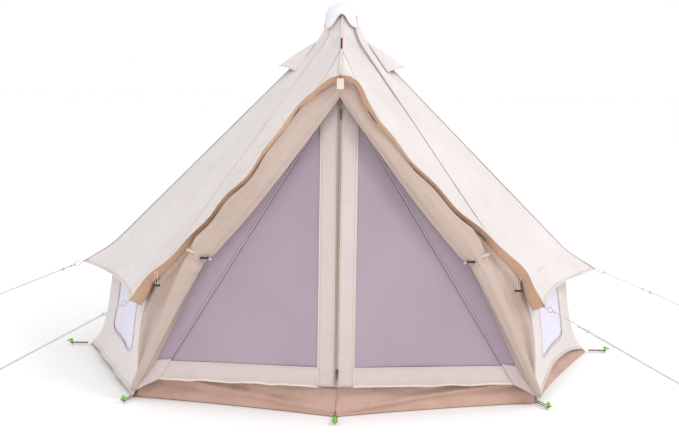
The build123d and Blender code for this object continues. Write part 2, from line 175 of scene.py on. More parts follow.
@dataclass(frozen=True)
class CanvasFinish(Finish):
    """Plain-woven cotton canvas: dull, slubbed and lightly crumpled from being packed."""

    shade: str = "CDBFB4"
    thread: float = 4.0 * MM  # real threads are 0.5 mm apart; drawn coarser so that they show
    crumple: float = 1.0

    def dress(self, tree: Tree, shader: Node) -> None:
        """Weave, slubs, crumples and faint staining, on the cloth's own UV in metres."""
        coords = add_node(tree, "TexCoord")
        flat, place = coords.outputs["UV"], coords.outputs["Object"]
        stained = self.mottle(tree, place, self.shade, 2.2, 0.55)
        slubs = []
        for stretch in ((160.0, 9.0, 1.0), (9.0, 160.0, 1.0)):
            turned = add_node(tree, "Mapping", {"Vector": flat, "Scale": stretch}).outputs[0]
            slubs.append(add_node(tree, "TexNoise", {"Vector": turned, "Scale": 1.0, "Detail": 3.0}))
        threads = [
            add_node(
                tree, "TexWave",
                {"Vector": flat, "Scale": wave_scale(self.thread), "Distortion": 0.6, "Detail": 1.0},
                bands_direction=way,
            )
            for way in ("X", "Y")
        ]
        weave = add_node(
            tree, "Math",
            {0: threads[0].outputs["Fac"], 1: threads[1].outputs["Fac"]}, operation="MULTIPLY",
        )
        slub = add_node(
            tree, "Math", {0: slubs[0].outputs["Fac"], 1: slubs[1].outputs["Fac"]}, operation="ADD",
        )
        streak = add_node(
            tree, "MapRange",
            {"Value": slub.outputs[0], "From Min": 0.7, "From Max": 1.3, "To Min": 0.95, "To Max": 1.04},
        )
        tinted = add_node(
            tree, "Mix",
            {0: 1.0, 6: stained, 7: streak.outputs["Result"]}, data_type="RGBA", blend_type="MULTIPLY",
        )
        tree.links.new(tinted.outputs[2], shader.inputs["Base Color"])
        creases = add_node(
            tree, "TexNoise",
            {"Vector": place, "Scale": 11.0, "Detail": 7.0, "Roughness": 0.55, "Distortion": 0.9},
        )
        soft = add_node(
            tree, "Bump",
            {"Height": creases.outputs["Fac"], "Distance": 0.02 * self.crumple, "Strength": 0.6},
        )
        fine = add_node(
            tree, "Bump",
            {"Height": weave.outputs[0], "Distance": 0.0009, "Strength": 0.5, "Normal": soft.outputs[0]},
        )
        last = add_node(
            tree, "Bump",
            {"Height": slub.outputs[0], "Distance": 0.0012, "Strength": 0.5, "Normal": fine.outputs[0]},
        )
        tree.links.new(last.outputs[0], shader.inputs["Normal"])
        shader.inputs["Sheen Weight"].default_value = 0.12
        shader.inputs["Sheen Roughness"].default_value = 0.5


@dataclass(frozen=True)
class ScreenFinish(Finish):
    """Knitted insect mesh: fine open net, drawn as a grid of small dark holes."""

    hole: str = "5F545C"
    pitch: float = 3.2 * MM  # the real holes are 1.2 mm apart; drawn coarser so that they show

    def dress(self, tree: Tree, shader: Node) -> None:
        """A net of holes with slow changes of tone over the panel."""
        coords = add_node(tree, "TexCoord")
        flat = coords.outputs["UV"]
        toned = self.mottle(tree, coords.outputs["Object"], self.hole, 1.6, 0.16)
        net = crossed_bands(tree, flat, self.pitch, "MULTIPLY")
        holes = add_node(
            tree, "MapRange",
            {"Value": net.outputs[0], "From Min": 0.35, "From Max": 0.8, "To Max": 0.35},
        )
        mix = add_node(
            tree, "Mix", {0: holes.outputs["Result"], 6: toned, 7: linear(self.hole)}, data_type="RGBA",
        )
        tree.links.new(mix.outputs[2], shader.inputs["Base Color"])
        place = coords.outputs["Object"]
        creases = add_node(tree, "TexNoise", {"Vector": place, "Scale": 5.0, "Detail": 3.0})
        soft = add_node(tree, "Bump", {"Height": creases.outputs["Fac"], "Distance": 0.012, "Strength": 0.4})
        fine = add_node(
            tree, "Bump",
            {"Height": net.outputs[0], "Distance": 0.0006, "Strength": 0.6, "Normal": soft.outputs[0]},
            invert=True,
        )
        tree.links.new(fine.outputs[0], shader.inputs["Normal"])


@dataclass(frozen=True)
class CoatedFinish(Finish):
    """Groundsheet of coated ripstop: slightly shiny, creased, dusty in the folds."""

    dust: str = "D8B9A8"
    square: float = 8.0 * MM  # real ripstop squares are 5 mm; drawn coarser so that they show

    def dress(self, tree: Tree, shader: Node) -> None:
        """Ripstop squares, sharp small creases and pale dust."""
        coords = add_node(tree, "TexCoord")
        place, flat = coords.outputs["Object"], coords.outputs["UV"]
        tree.links.new(self.mottle(tree, place, self.dust, 5.0, 0.5), shader.inputs["Base Color"])
        noise = {"Vector": place, "Scale": 16.0, "Detail": 6.0, "Distortion": 1.4}
        creases = add_node(tree, "TexNoise", noise)
        soft = add_node(tree, "Bump", {"Height": creases.outputs["Fac"], "Distance": 0.014, "Strength": 0.7})
        grid = crossed_bands(tree, flat, self.square, "MAXIMUM")
        fine = add_node(
            tree, "Bump",
            {"Height": grid.outputs[0], "Distance": 0.0005, "Strength": 0.4, "Normal": soft.outputs[0]},
        )
        tree.links.new(fine.outputs[0], shader.inputs["Normal"])
        rub = add_node(
            tree, "MapRange",
            {"Value": creases.outputs["Fac"],
             "To Min": self.roughness - 0.12, "To Max": self.roughness + 0.2},
        )
        tree.links.new(rub.outputs["Result"], shader.inputs["Roughness"])


class Grain(Enum):
    """How a hard part's surface was made."""

    GALVANISED = "galvanised"
    MOULDED = "moulded"
    RUBBER = "rubber"


@dataclass(frozen=True)
class HardFinish(Finish):
    """A tube, moulding or casting, with the grain that its making left."""

    grain: Grain = Grain.MOULDED
    worn: str = "808080"

    def dress(self, tree: Tree, shader: Node) -> None:
        """Crystals on zinc, fine sparking on mouldings, dull bloom on rubber."""
        per_metre, share, depth = {
            Grain.GALVANISED: (90.0, 0.7, 0.0003),
            Grain.MOULDED: (140.0, 0.35, 0.0003),
            Grain.RUBBER: (60.0, 0.5, 0.0005),
        }[self.grain]
        coords = add_node(tree, "TexCoord")
        place = coords.outputs["Object"]
        tree.links.new(self.mottle(tree, place, self.worn, per_metre, share), shader.inputs["Base Color"])
        grit = add_node(tree, "TexNoise", {"Vector": place, "Scale": per_metre * 9, "Detail": 2.0})
        bump = add_node(tree, "Bump", {"Height": grit.outputs["Fac"], "Distance": depth, "Strength": 0.5})
        tree.links.new(bump.outputs[0], shader.inputs["Normal"])
        rub = add_node(
            tree, "MapRange",
            {"Value": grit.outputs["Fac"], "To Min": self.roughness - 0.08, "To Max": self.roughness + 0.1},
        )
        tree.links.new(rub.outputs["Result"], shader.inputs["Roughness"])


@dataclass(frozen=True)
class BraidFinish(Finish):
    """Braided or woven cord, tape and webbing: short slanting ribs of thread."""

    # Painted shade: the colour that darkens the hollows between the ribs.
    groove_shade: str = "8C8C8C"
    pitch: float = 4.0 * MM

    def dress(self, tree: Tree, shader: Node) -> None:
        """Diagonal ribs, with painted shade darkening the hollows between them."""
        coords = add_node(tree, "TexCoord")
        ribs = add_node(
            tree, "TexWave",
            {"Vector": coords.outputs["Object"], "Scale": wave_scale(self.pitch), "Distortion": 0.4},
            bands_direction="DIAGONAL",
        )
        low = add_node(
            tree, "MapRange",
            {"Value": ribs.outputs["Fac"], "From Min": 0.1, "From Max": 0.6, "To Min": 0.55, "To Max": 0.0},
        )
        mix = add_node(
            tree, "Mix",
            {0: low.outputs["Result"], 6: linear(self.colour), 7: linear(self.groove_shade)}, data_type="RGBA",
        )
        tree.links.new(mix.outputs[2], shader.inputs["Base Color"])
        bump = add_node(tree, "Bump", {"Height": ribs.outputs["Fac"], "Distance": 0.0006, "Strength": 0.7})
        tree.links.new(bump.outputs[0], shader.inputs["Normal"])


CANVAS = CanvasFinish("woven_canvas", "E0D9D8", 0.88, shade="CFC6C0")
# Painted light: the warm tan of the canvas's inner faces stands for light shining through the cloth and
# bouncing inside.
CANVAS_INSIDE_PAINTED_LIGHT = CanvasFinish("woven_canvas_inside_painted_light", "CDA98E", 0.9, shade="B28E76")
# Painted shade: the band canvas is darker than the roof canvas for the shade on upright bands; it also
# dresses the window bindings and sill returns.
CANVAS_BAND_PAINTED_SHADE = CanvasFinish("woven_canvas_band_painted_shade", "D2C4C2", 0.88, shade="C2B2AE", crumple=0.5)
CANVAS_HEM = CanvasFinish("woven_canvas_hem", "E6DBD3", 0.85, shade="D6C3AF", crumple=0.3)
CANVAS_CAP = CanvasFinish("woven_canvas_cap", "ECEEF6", 0.85, shade="D8DAE4", crumple=0.6)
# Painted shade: the flap and jamb canvas is the roof canvas darkened for the shade they hang in.
CANVAS_FLAP_PAINTED_SHADE = CanvasFinish("woven_canvas_flap_painted_shade", "C4B0A6", 0.88, shade="AE988B")
DOOR_SCREEN = ScreenFinish("knitted_door_screen", "AD9CA9", 0.75)
WINDOW_SCREEN = ScreenFinish("knitted_window_screen", "E2DFF0", 0.7, hole="B4B0C6")
GROUNDSHEET = CoatedFinish("coated_groundsheet", "BE9A8B", 0.55)
POLE_STEEL = HardFinish("galvanised_tube", "B9BCBE", 0.38, 1.0, grain=Grain.GALVANISED, worn="8E9294")
PEG_STEEL = HardFinish("zinc_plated_rod", "B4B4B6", 0.35, 1.0, grain=Grain.GALVANISED, worn="77787A")
POLE_RUBBER = HardFinish("moulded_rubber", "1D1C1C", 0.75, grain=Grain.RUBBER, worn="3A3836")
PEG_PLASTIC = HardFinish("moulded_polypropylene_green", "74CF2E", 0.35, grain=Grain.MOULDED, worn="4FA31C")
RUNNER_PLASTIC = HardFinish("moulded_acetal_grey", "C9CBCF", 0.4, grain=Grain.MOULDED, worn="A5A8AD")
TOGGLE_PLASTIC = HardFinish("moulded_nylon_dark", "2A2523", 0.4, grain=Grain.MOULDED, worn="4A423D")
ZIP_METAL = HardFinish("cast_zinc_slider", "6B625C", 0.4, 1.0, grain=Grain.GALVANISED, worn="463F3A")
HINGE_TAPE = BraidFinish("woven_hinge_tape", "BFB0BA", 0.8, groove_shade="A393A0")
ZIP_TAPE = BraidFinish("woven_zip_tape", "CBBBAF", 0.8, groove_shade="A5948A")
ZIP_TEETH = HardFinish("nylon_coil_teeth", "BBAA9E", 0.45, grain=Grain.MOULDED, worn="9A897E")
ROPE = BraidFinish("braided_polyester_rope", "D4D4D8", 0.7, groove_shade="84868C")
WEBBING = BraidFinish("woven_peg_webbing", "6E544A", 0.8, groove_shade="3E2D27", pitch=5 * MM)
LOOP_CORD = BraidFinish("thin_toggle_cord", "D9CBC0", 0.8, groove_shade="A89686", pitch=3 * MM)
CREAM_TAPE = BraidFinish("woven_cream_tape", "E4D8CE", 0.8, groove_shade="CBBBAE", pitch=3 * MM)
RED_TAPE = BraidFinish("woven_red_tape", "7E1526", 0.75, groove_shade="4E0A16")
THREAD = BraidFinish("sewing_thread", "D8C7B8", 0.8, groove_shade="B49F8E", pitch=3 * MM)


# ---------------------------------------------------------------- mesh helpers
def unit(v: np.ndarray) -> np.ndarray:
    """Scale vectors to length 1 along the last axis."""
    return v / np.maximum(np.linalg.norm(v, axis=-1, keepdims=True), 1e-12)


def along(points: np.ndarray, shares: np.ndarray, blur: float = 0.0) -> np.ndarray:
    """Read places along a run of points, with its corners rounded.

    Args:
        points: The run's points, n by 3.
        shares: Where to read, from 0 at the start to 1 at the end.
        blur: Half the length, in metres, over which a corner is rounded.

    Returns:
        One point for each share.
    """
    steps = np.linalg.norm(np.diff(points, axis=0), axis=1)
    marks = np.concatenate([[0.0], np.cumsum(steps)])
    total = marks[-1]
    out = np.zeros((len(shares), 3))
    for shift in (-1.0, -0.5, 0.0, 0.5, 1.0):
        room = np.minimum(shares, 1 - shares) * total
        at = shares * total + shift * np.minimum(blur, room)
        out += np.stack([np.interp(at, marks, points[:, k]) for k in range(3)], axis=1)
    return out / 5


def grid_normals(grid: Grid) -> Grid:
    """Give the normal at each point of a grid."""
    across, down = np.gradient(grid, axis=1), np.gradient(grid, axis=0)
    return unit(np.cross(across, down))


@dataclass
class Ripples:
    """Soft seeded waves over a flat pattern, for slack and creases in cloth."""

    seed: int
    wavelength: float = 0.35
    count: int = 9
    lean: tuple[float, float] = (1.0, 1.0)

    def height(self, u: np.ndarray, v: np.ndarray) -> np.ndarray:
        """Give heights of about -1 to 1 at flat places u, v in metres."""
        rng = np.random.default_rng(self.seed)
        total = np.zeros(np.broadcast(u, v).shape)
        for _ in range(self.count):
            angle, phase = rng.uniform(0, math.tau, 2)
            k = math.tau / (self.wavelength * rng.uniform(0.6, 1.8))
            across, down = math.cos(angle) * self.lean[0], math.sin(angle) * self.lean[1]
            total += np.sin(k * (u * across + v * down) + phase)
        return total / math.sqrt(self.count)


def tension(
    u: np.ndarray, v: np.ndarray, at: Pair, reach: float, folds: float, phase: float
) -> np.ndarray:
    """Fold heights that fan out from a place where cloth is pulled.

    Args:
        u: Flat places across, in metres.
        v: Flat places down, in metres.
        at: The place that is pulled.
        reach: How far the folds run, in metres.
        folds: Folds in a radian of the fan.
        phase: Turns the fan.

    Returns:
        Heights of -1 to 1, fading with distance.
    """
    du, dv = u - at[0], v - at[1]
    far = np.hypot(du, dv)
    return np.sin(folds * math.tau * np.arctan2(dv, du) + phase) * np.exp(-far / reach) * far / (far + 0.06)


@dataclass
class Cloth:
    """Sheets of cloth that are collected as grids and built as one piece."""

    name: str
    outside: Finish
    inside: Finish
    thickness: float = 1.4 * MM
    body: str = "tent"
    grids: list[tuple[Grid, np.ndarray, np.ndarray]] = field(default_factory=list)

    def add(
        self, grid: Grid, facing: Sequence[float],
        keep: np.ndarray | None = None, uv: np.ndarray | None = None,
    ) -> None:
        """Add a grid of points.

        Args:
            grid: Points, rows by columns by 3.
            facing: A direction on the side that is outside.
            keep: True for each square that stays, rows-1 by columns-1.
            uv: Flat places in metres; worked out from the lengths if left out.
        """
        middle = grid_normals(grid)[grid.shape[0] // 2, grid.shape[1] // 2]
        if uv is None:
            uv = flat_places(grid)
        if middle @ np.asarray(facing) < 0:
            grid, uv = grid[:, ::-1], uv[:, ::-1]
            keep = keep[:, ::-1] if keep is not None else None
        if keep is None:
            keep = np.ones((grid.shape[0] - 1, grid.shape[1] - 1), bool)
        self.grids.append((grid, uv, keep))

    def build(self, replaces: Sequence[str] = (), merge: float = 0.2 * MM) -> Piece:
        """Join the grids, give the cloth its thickness and finishes, and fix it to its body.

        Args:
            replaces: CAD nodes that this piece stands for.
            merge: Points closer than this are joined.

        Returns:
            The finished piece.
        """
        verts, faces, places, start = [], [], [], 0
        for grid, uv, keep in self.grids:
            rows, cols = grid.shape[:2]
            verts.append(grid.reshape(-1, 3))
            index = start + np.arange(rows * cols).reshape(rows, cols)
            quads = np.stack([index[:-1, :-1], index[:-1, 1:], index[1:, 1:], index[1:, :-1]], axis=-1)
            faces.append(quads[keep])
            places.append(uv.reshape(-1, 2))
            start += rows * cols
        made = mesh_object(self.name, np.concatenate(verts), np.concatenate(faces), np.concatenate(places))
        weld(made, merge)
        made.data.materials.append(self.outside.material())
        made.data.materials.append(self.inside.material())
        # Inner faces take the inside finish; for canvas that is the painted-light tan.
        wall = made.modifiers.new("thickness", "SOLIDIFY")
        wall.thickness, wall.offset, wall.material_offset = self.thickness, -1.0, 1
        wall.use_even_offset = False
        return place(made, self.body, replaces)

    def declare(
        self, made: Piece,
    ) -> float:
        """Give the cloth's flat area.

        Args:
            made: The finished piece; not used.

        Returns:
            The cloth's area, in square metres.
        """
        area = self.flat_area()
        return area

    def flat_area(self) -> float:
        """Give the cloth's area before its thickness, in square metres."""
        total = 0.0
        for grid, _, keep in self.grids:
            a, b = grid[1:, 1:] - grid[:-1, :-1], grid[1:, :-1] - grid[:-1, 1:]
            total += float((np.linalg.norm(np.cross(a, b), axis=-1) / 2 * keep).sum())
        return total


def flat_places(grid: Grid) -> np.ndarray:
    """Lay a grid out flat: distances across and down it, in metres."""
    across = np.linalg.norm(np.diff(grid, axis=1), axis=2).cumsum(axis=1)
    down = np.linalg.norm(np.diff(grid, axis=0), axis=2).cumsum(axis=0)
    u = np.concatenate([np.zeros((grid.shape[0], 1)), across], axis=1)
    v = np.concatenate([np.zeros((1, grid.shape[1])), down], axis=0)
    u = u - u[:, -1:] / 2
    return np.stack([u, v], axis=-1)


def mesh_object(name: str, verts: np.ndarray, faces: Sequence, uv: np.ndarray | None = None) -> Piece:
    """Make a smooth mesh object at the origin.

    Args:
        name: The piece's name.
        verts: Points, n by 3.
        faces: Corner numbers of each face.
        uv: One flat place for each point.

    Returns:
        The new object, linked to the scene.
    """
    mesh = bpy.data.meshes.new(name)
    mesh.from_pydata([tuple(map(float, v)) for v in verts], [], [tuple(map(int, f)) for f in faces])
    if uv is not None:
        layer = mesh.uv_layers.new(name="UVMap")
        corners = np.zeros(len(mesh.loops), dtype=np.int32)
        mesh.loops.foreach_get("vertex_index", corners)
        layer.data.foreach_set("uv", uv[corners].astype(np.float32).ravel())
    mesh.polygons.foreach_set("use_smooth", [True] * len(mesh.polygons))
    made = bpy.data.objects.new(name, mesh)
    bpy.context.scene.collection.objects.link(made)
    return made


def weld(piece: Piece, distance: float) -> None:
    """Join points that lie together, drop flat slivers and loose points."""
    work = bmesh.new()
    work.from_mesh(piece.data)
    bmesh.ops.remove_doubles(work, verts=work.verts, dist=distance)
    bmesh.ops.dissolve_degenerate(work, edges=work.edges, dist=1e-6)
    loose = [v for v in work.verts if not v.link_faces]
    bmesh.ops.delete(work, geom=loose, context="VERTS")
    work.to_mesh(piece.data)
    work.free()


def place(piece: Piece, body: str, replaces: Sequence[str] = ()) -> Piece:
    """Fix a piece to its body, standing for CAD nodes where it does."""
    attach(piece, body)
    if replaces:
        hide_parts(*replaces)
    return piece


def tube_mesh(
    name: str, path: Run, wide: float | np.ndarray, high: float | np.ndarray, side: np.ndarray | None = None,
    rings: int = 8,
) -> Piece:
    """Sweep an oval along a path, with closed ends.

    Args:
        name: The piece's name.
        path: Points along the middle.
        wide: Half-width along side, for all points or one each.
        high: Half-height across it.
        side: The way of the width, one for all points or one each.
        rings: Corners round the oval.

    Returns:
        The closed tube.
    """
    count = len(path)
    forward = unit(np.gradient(path, axis=0))
    if side is None:
        side = np.array([0.0, 0.0, 1.0]) if abs(forward[0, 2]) < 0.9 else np.array([1.0, 0.0, 0.0])
    side = np.broadcast_to(side, path.shape)
    side = unit(side - (side * forward).sum(1, keepdims=True) * forward)
    over = np.cross(forward, side)
    wide, high = np.broadcast_to(wide, count), np.broadcast_to(high, count)
    turn = np.linspace(0, math.tau, rings, endpoint=False)
    rim = (
        path[:, None]
        + (side * wide[:, None])[:, None] * np.cos(turn)[None, :, None]
        + (over * high[:, None])[:, None] * np.sin(turn)[None, :, None]
    )
    verts = rim.reshape(-1, 3)
    index = np.arange(count * rings).reshape(count, rings)
    nxt = np.roll(index, -1, axis=1)
    faces = np.stack([index[:-1], nxt[:-1], nxt[1:], index[1:]], axis=-1).reshape(-1, 4).tolist()
    faces += [index[0, ::-1].tolist(), index[-1].tolist()]
    run = np.concatenate([[0.0], np.linalg.norm(np.diff(path, axis=0), axis=1).cumsum()])
    uv = np.stack(np.broadcast_arrays(turn[None] * 0.01, run[:, None]), axis=-1).reshape(-1, 2)
    return mesh_object(name, verts, faces, uv)


def join(name: str, parts: Sequence[Piece], finish: Finish) -> Piece:
    """Join loose mesh parts into one piece with one finish."""
    work = bmesh.new()
    for part in parts:
        work.from_mesh(part.data)
        bpy.data.objects.remove(part)
    mesh = bpy.data.meshes.new(name)
    work.to_mesh(mesh)
    work.free()
    mesh.materials.append(finish.material())
    made = bpy.data.objects.new(name, mesh)
    bpy.context.scene.collection.objects.link(made)
    return made


# ---------------------------------------------------------------- repeats along a run
@dataclass(frozen=True)
class Repeat:
    """A Geometry Nodes tree that repeats a short rounded bar along runs: stitches, or a zip's teeth."""

    name: str
    finish: Finish
    pitch: float
    length: float
    radius: float
    jitter: float = 0.12
    seed: int = 5
    crosswise: bool = False

    def tree(self) -> Tree:
        """Return the node tree, built once, with its sizes as named inputs."""
        found = bpy.data.node_groups.get(self.name)
        if found:
            return found
        made = bpy.data.node_groups.new(self.name, "GeometryNodeTree")
        face = made.interface
        face.new_socket("Geometry", in_out="INPUT", socket_type="NodeSocketGeometry")
        for label in ("Pitch", "Length", "Radius", "Jitter"):
            face.new_socket(label, in_out="INPUT", socket_type="NodeSocketFloat")
        face.new_socket("Seed", in_out="INPUT", socket_type="NodeSocketInt")
        face.new_socket("Geometry", in_out="OUTPUT", socket_type="NodeSocketGeometry")
        given = add_node(made, "NodeGroupInput")
        curve = add_node(made, "GeometryNodeMeshToCurve", {"Mesh": given.outputs["Geometry"]})
        points = add_node(
            made, "GeometryNodeCurveToPoints",
            {"Curve": curve.outputs[0], "Length": given.outputs["Pitch"]}, mode="LENGTH",
        )
        bar = add_node(
            made, "GeometryNodeMeshCylinder",
            {"Vertices": 5, "Radius": given.outputs["Radius"], "Depth": given.outputs["Length"]},
        )
        way = points.outputs["Normal" if self.crosswise else "Tangent"]
        turned = add_node(made, "FunctionNodeAlignRotationToVector", {"Vector": way}, axis="Z")
        low = add_node(made, "Math", {0: 1.0, 1: given.outputs["Jitter"]}, operation="SUBTRACT")
        stretch = add_node(made, "FunctionNodeRandomValue", data_type="FLOAT")
        least, most = (
            next(socket for socket in stretch.inputs if socket.name == name and socket.type == "VALUE")
            for name in ("Min", "Max")
        )
        made.links.new(low.outputs[0], least)
        most.default_value = 1.0
        made.links.new(given.outputs["Seed"], stretch.inputs["Seed"])
        size = add_node(
            made, "CombineXYZ",
            {"X": 1.0, "Y": 1.0, "Z": next(o for o in stretch.outputs if o.type == "VALUE")},
        )
        placed = add_node(
            made, "GeometryNodeInstanceOnPoints",
            {"Points": points.outputs["Points"], "Instance": bar.outputs["Mesh"],
             "Rotation": turned.outputs[0], "Scale": size.outputs[0]},
        )
        real = add_node(made, "GeometryNodeRealizeInstances", {"Geometry": placed.outputs[0]})
        dressed = add_node(made, "GeometryNodeSetMaterial", {"Geometry": real.outputs[0]})
        dressed.inputs["Material"].default_value = self.finish.material()
        add_node(made, "NodeGroupOutput", {"Geometry": dressed.outputs[0]})
        return made

    def build(self, piece: str, runs: Sequence[np.ndarray], body: str) -> Piece:
        """Repeat the bar along runs of points and fix the result to a body.

        Args:
            piece: The new piece's name.
            runs: Runs of points, in metres.
            body: The body it rides on.

        Returns:
            The finished piece, a plain mesh.
        """
        verts, edges, start = np.concatenate(runs), [], 0
        for run in runs:
            edges += [(start + n, start + n + 1) for n in range(len(run) - 1)]
            start += len(run)
        mesh = bpy.data.meshes.new(f"{piece}_runs")
        mesh.from_pydata([tuple(map(float, v)) for v in verts], edges, [])
        guide = bpy.data.objects.new(f"{piece}_runs", mesh)
        bpy.context.scene.collection.objects.link(guide)
        maker = guide.modifiers.new("repeat", "NODES")
        maker.node_group = self.tree()
        sizes = {
            "Pitch": self.pitch, "Length": self.length, "Radius": self.radius,
            "Jitter": self.jitter, "Seed": self.seed,
        }
        for item in maker.node_group.interface.items_tree:
            if item.in_out == "INPUT" and item.name in sizes:
                maker[item.identifier] = sizes[item.name]
        ready = guide.evaluated_get(bpy.context.evaluated_depsgraph_get())
        result = bpy.data.meshes.new_from_object(ready)
        bpy.data.objects.remove(guide)
        made = bpy.data.objects.new(piece, result)
        bpy.context.scene.collection.objects.link(made)
        return place(made, body)


# real stitches are 4 mm long; drawn longer so that they show
STITCH = Repeat("sewn_stitches", THREAD, 15 * MM, 9 * MM, 0.9 * MM)
TEETH = Repeat("zip_coil_teeth", ZIP_TEETH, 5 * MM, 5.5 * MM, 1.1 * MM, 0.0, crosswise=True)


# ---------------------------------------------------------------- the tent's shape
@dataclass(frozen=True)
class TentShape:
    """Sizes that the cloth pieces share, as the frame has them."""

    angles: tuple[float, ...] = (0, 43, 90, 135, 180, 225, 270, 317)
    ground_radius: float = 1.500
    porch_reach: float = 1.390
    wall_top: tuple[float, float] = (1.350, 0.620)
    eave: tuple[float, float] = (1.530, 0.510)
    shoulder: tuple[float, float] = (0.140, 1.830)
    crown: tuple[float, float] = (0.067, 1.985)
    awning_tip: tuple[float, float, float] = (0.0, -1.270, 1.650)
    ridge_start: tuple[float, float, float] = (0.0, -0.150, 1.842)
    left_edge: tuple = (
        (0.0, 1.652), (0.045, 1.640), (0.125, 1.575), (0.190, 1.520), (0.287, 1.414), (0.428, 1.222),
        (0.542, 1.070), (0.732, 0.862), (0.850, 0.742), (0.963, 0.632), (1.043, 0.510),
    )
    right_edge: tuple = (
        (0.0, 1.652), (0.045, 1.650), (0.100, 1.618), (0.150, 1.525), (0.200, 1.430), (0.349, 1.270),
        (0.449, 1.170), (0.612, 1.000), (0.735, 0.893), (0.850, 0.783), (0.950, 0.690), (1.043, 0.510),
    )

    def compass(self, angle: float, radius: float, height: float) -> np.ndarray:
        """A point at an angle from the doors towards +X."""
        a = math.radians(angle)
        return np.array([radius * math.sin(a), -radius * math.cos(a), height])

    def corner(self, index: int, radius: float, height: float) -> np.ndarray:
        """A point on one of the eight corner planes."""
        return self.compass(self.angles[index % 8], radius, height)

    def outward(self, index: int) -> np.ndarray:
        """The level way out of the middle of a side."""
        return self.compass(self.angles[index % 8] + 22.5, 1.0, 0.0)

    def seam(self, index: int) -> np.ndarray:
        """The seam from the crown down one corner to the eave."""
        stops = (self.crown, self.shoulder, self.wall_top, self.eave)
        return np.array([self.corner(index, r, z) for r, z in stops])

    def awning_edge(self, side: int) -> np.ndarray:
        """The awning's free edge from its tip to a front eave corner."""
        listed = self.left_edge if side < 0 else self.right_edge
        return np.array([(side * x, -1.270 + 0.151 * x / 1.043, z) for x, z in listed])

    def ground_corner(self, index: int) -> np.ndarray:
        """A corner of the groundsheet."""
        index %= 8
        radius = self.porch_reach if index == 0 else self.ground_radius
        return self.corner(index, radius, 0.0)


SHAPE = TentShape()


# ---------------------------------------------------------------- roof
VENT_CORNERS = (2, 4, 6)
VENT_HOLE = (0.215, 0.285, 0.050)  # where it starts and ends down the corner, and its half-width
VENT_SEAM_START = 0.300  # a corner's seam with a vent starts below the hole


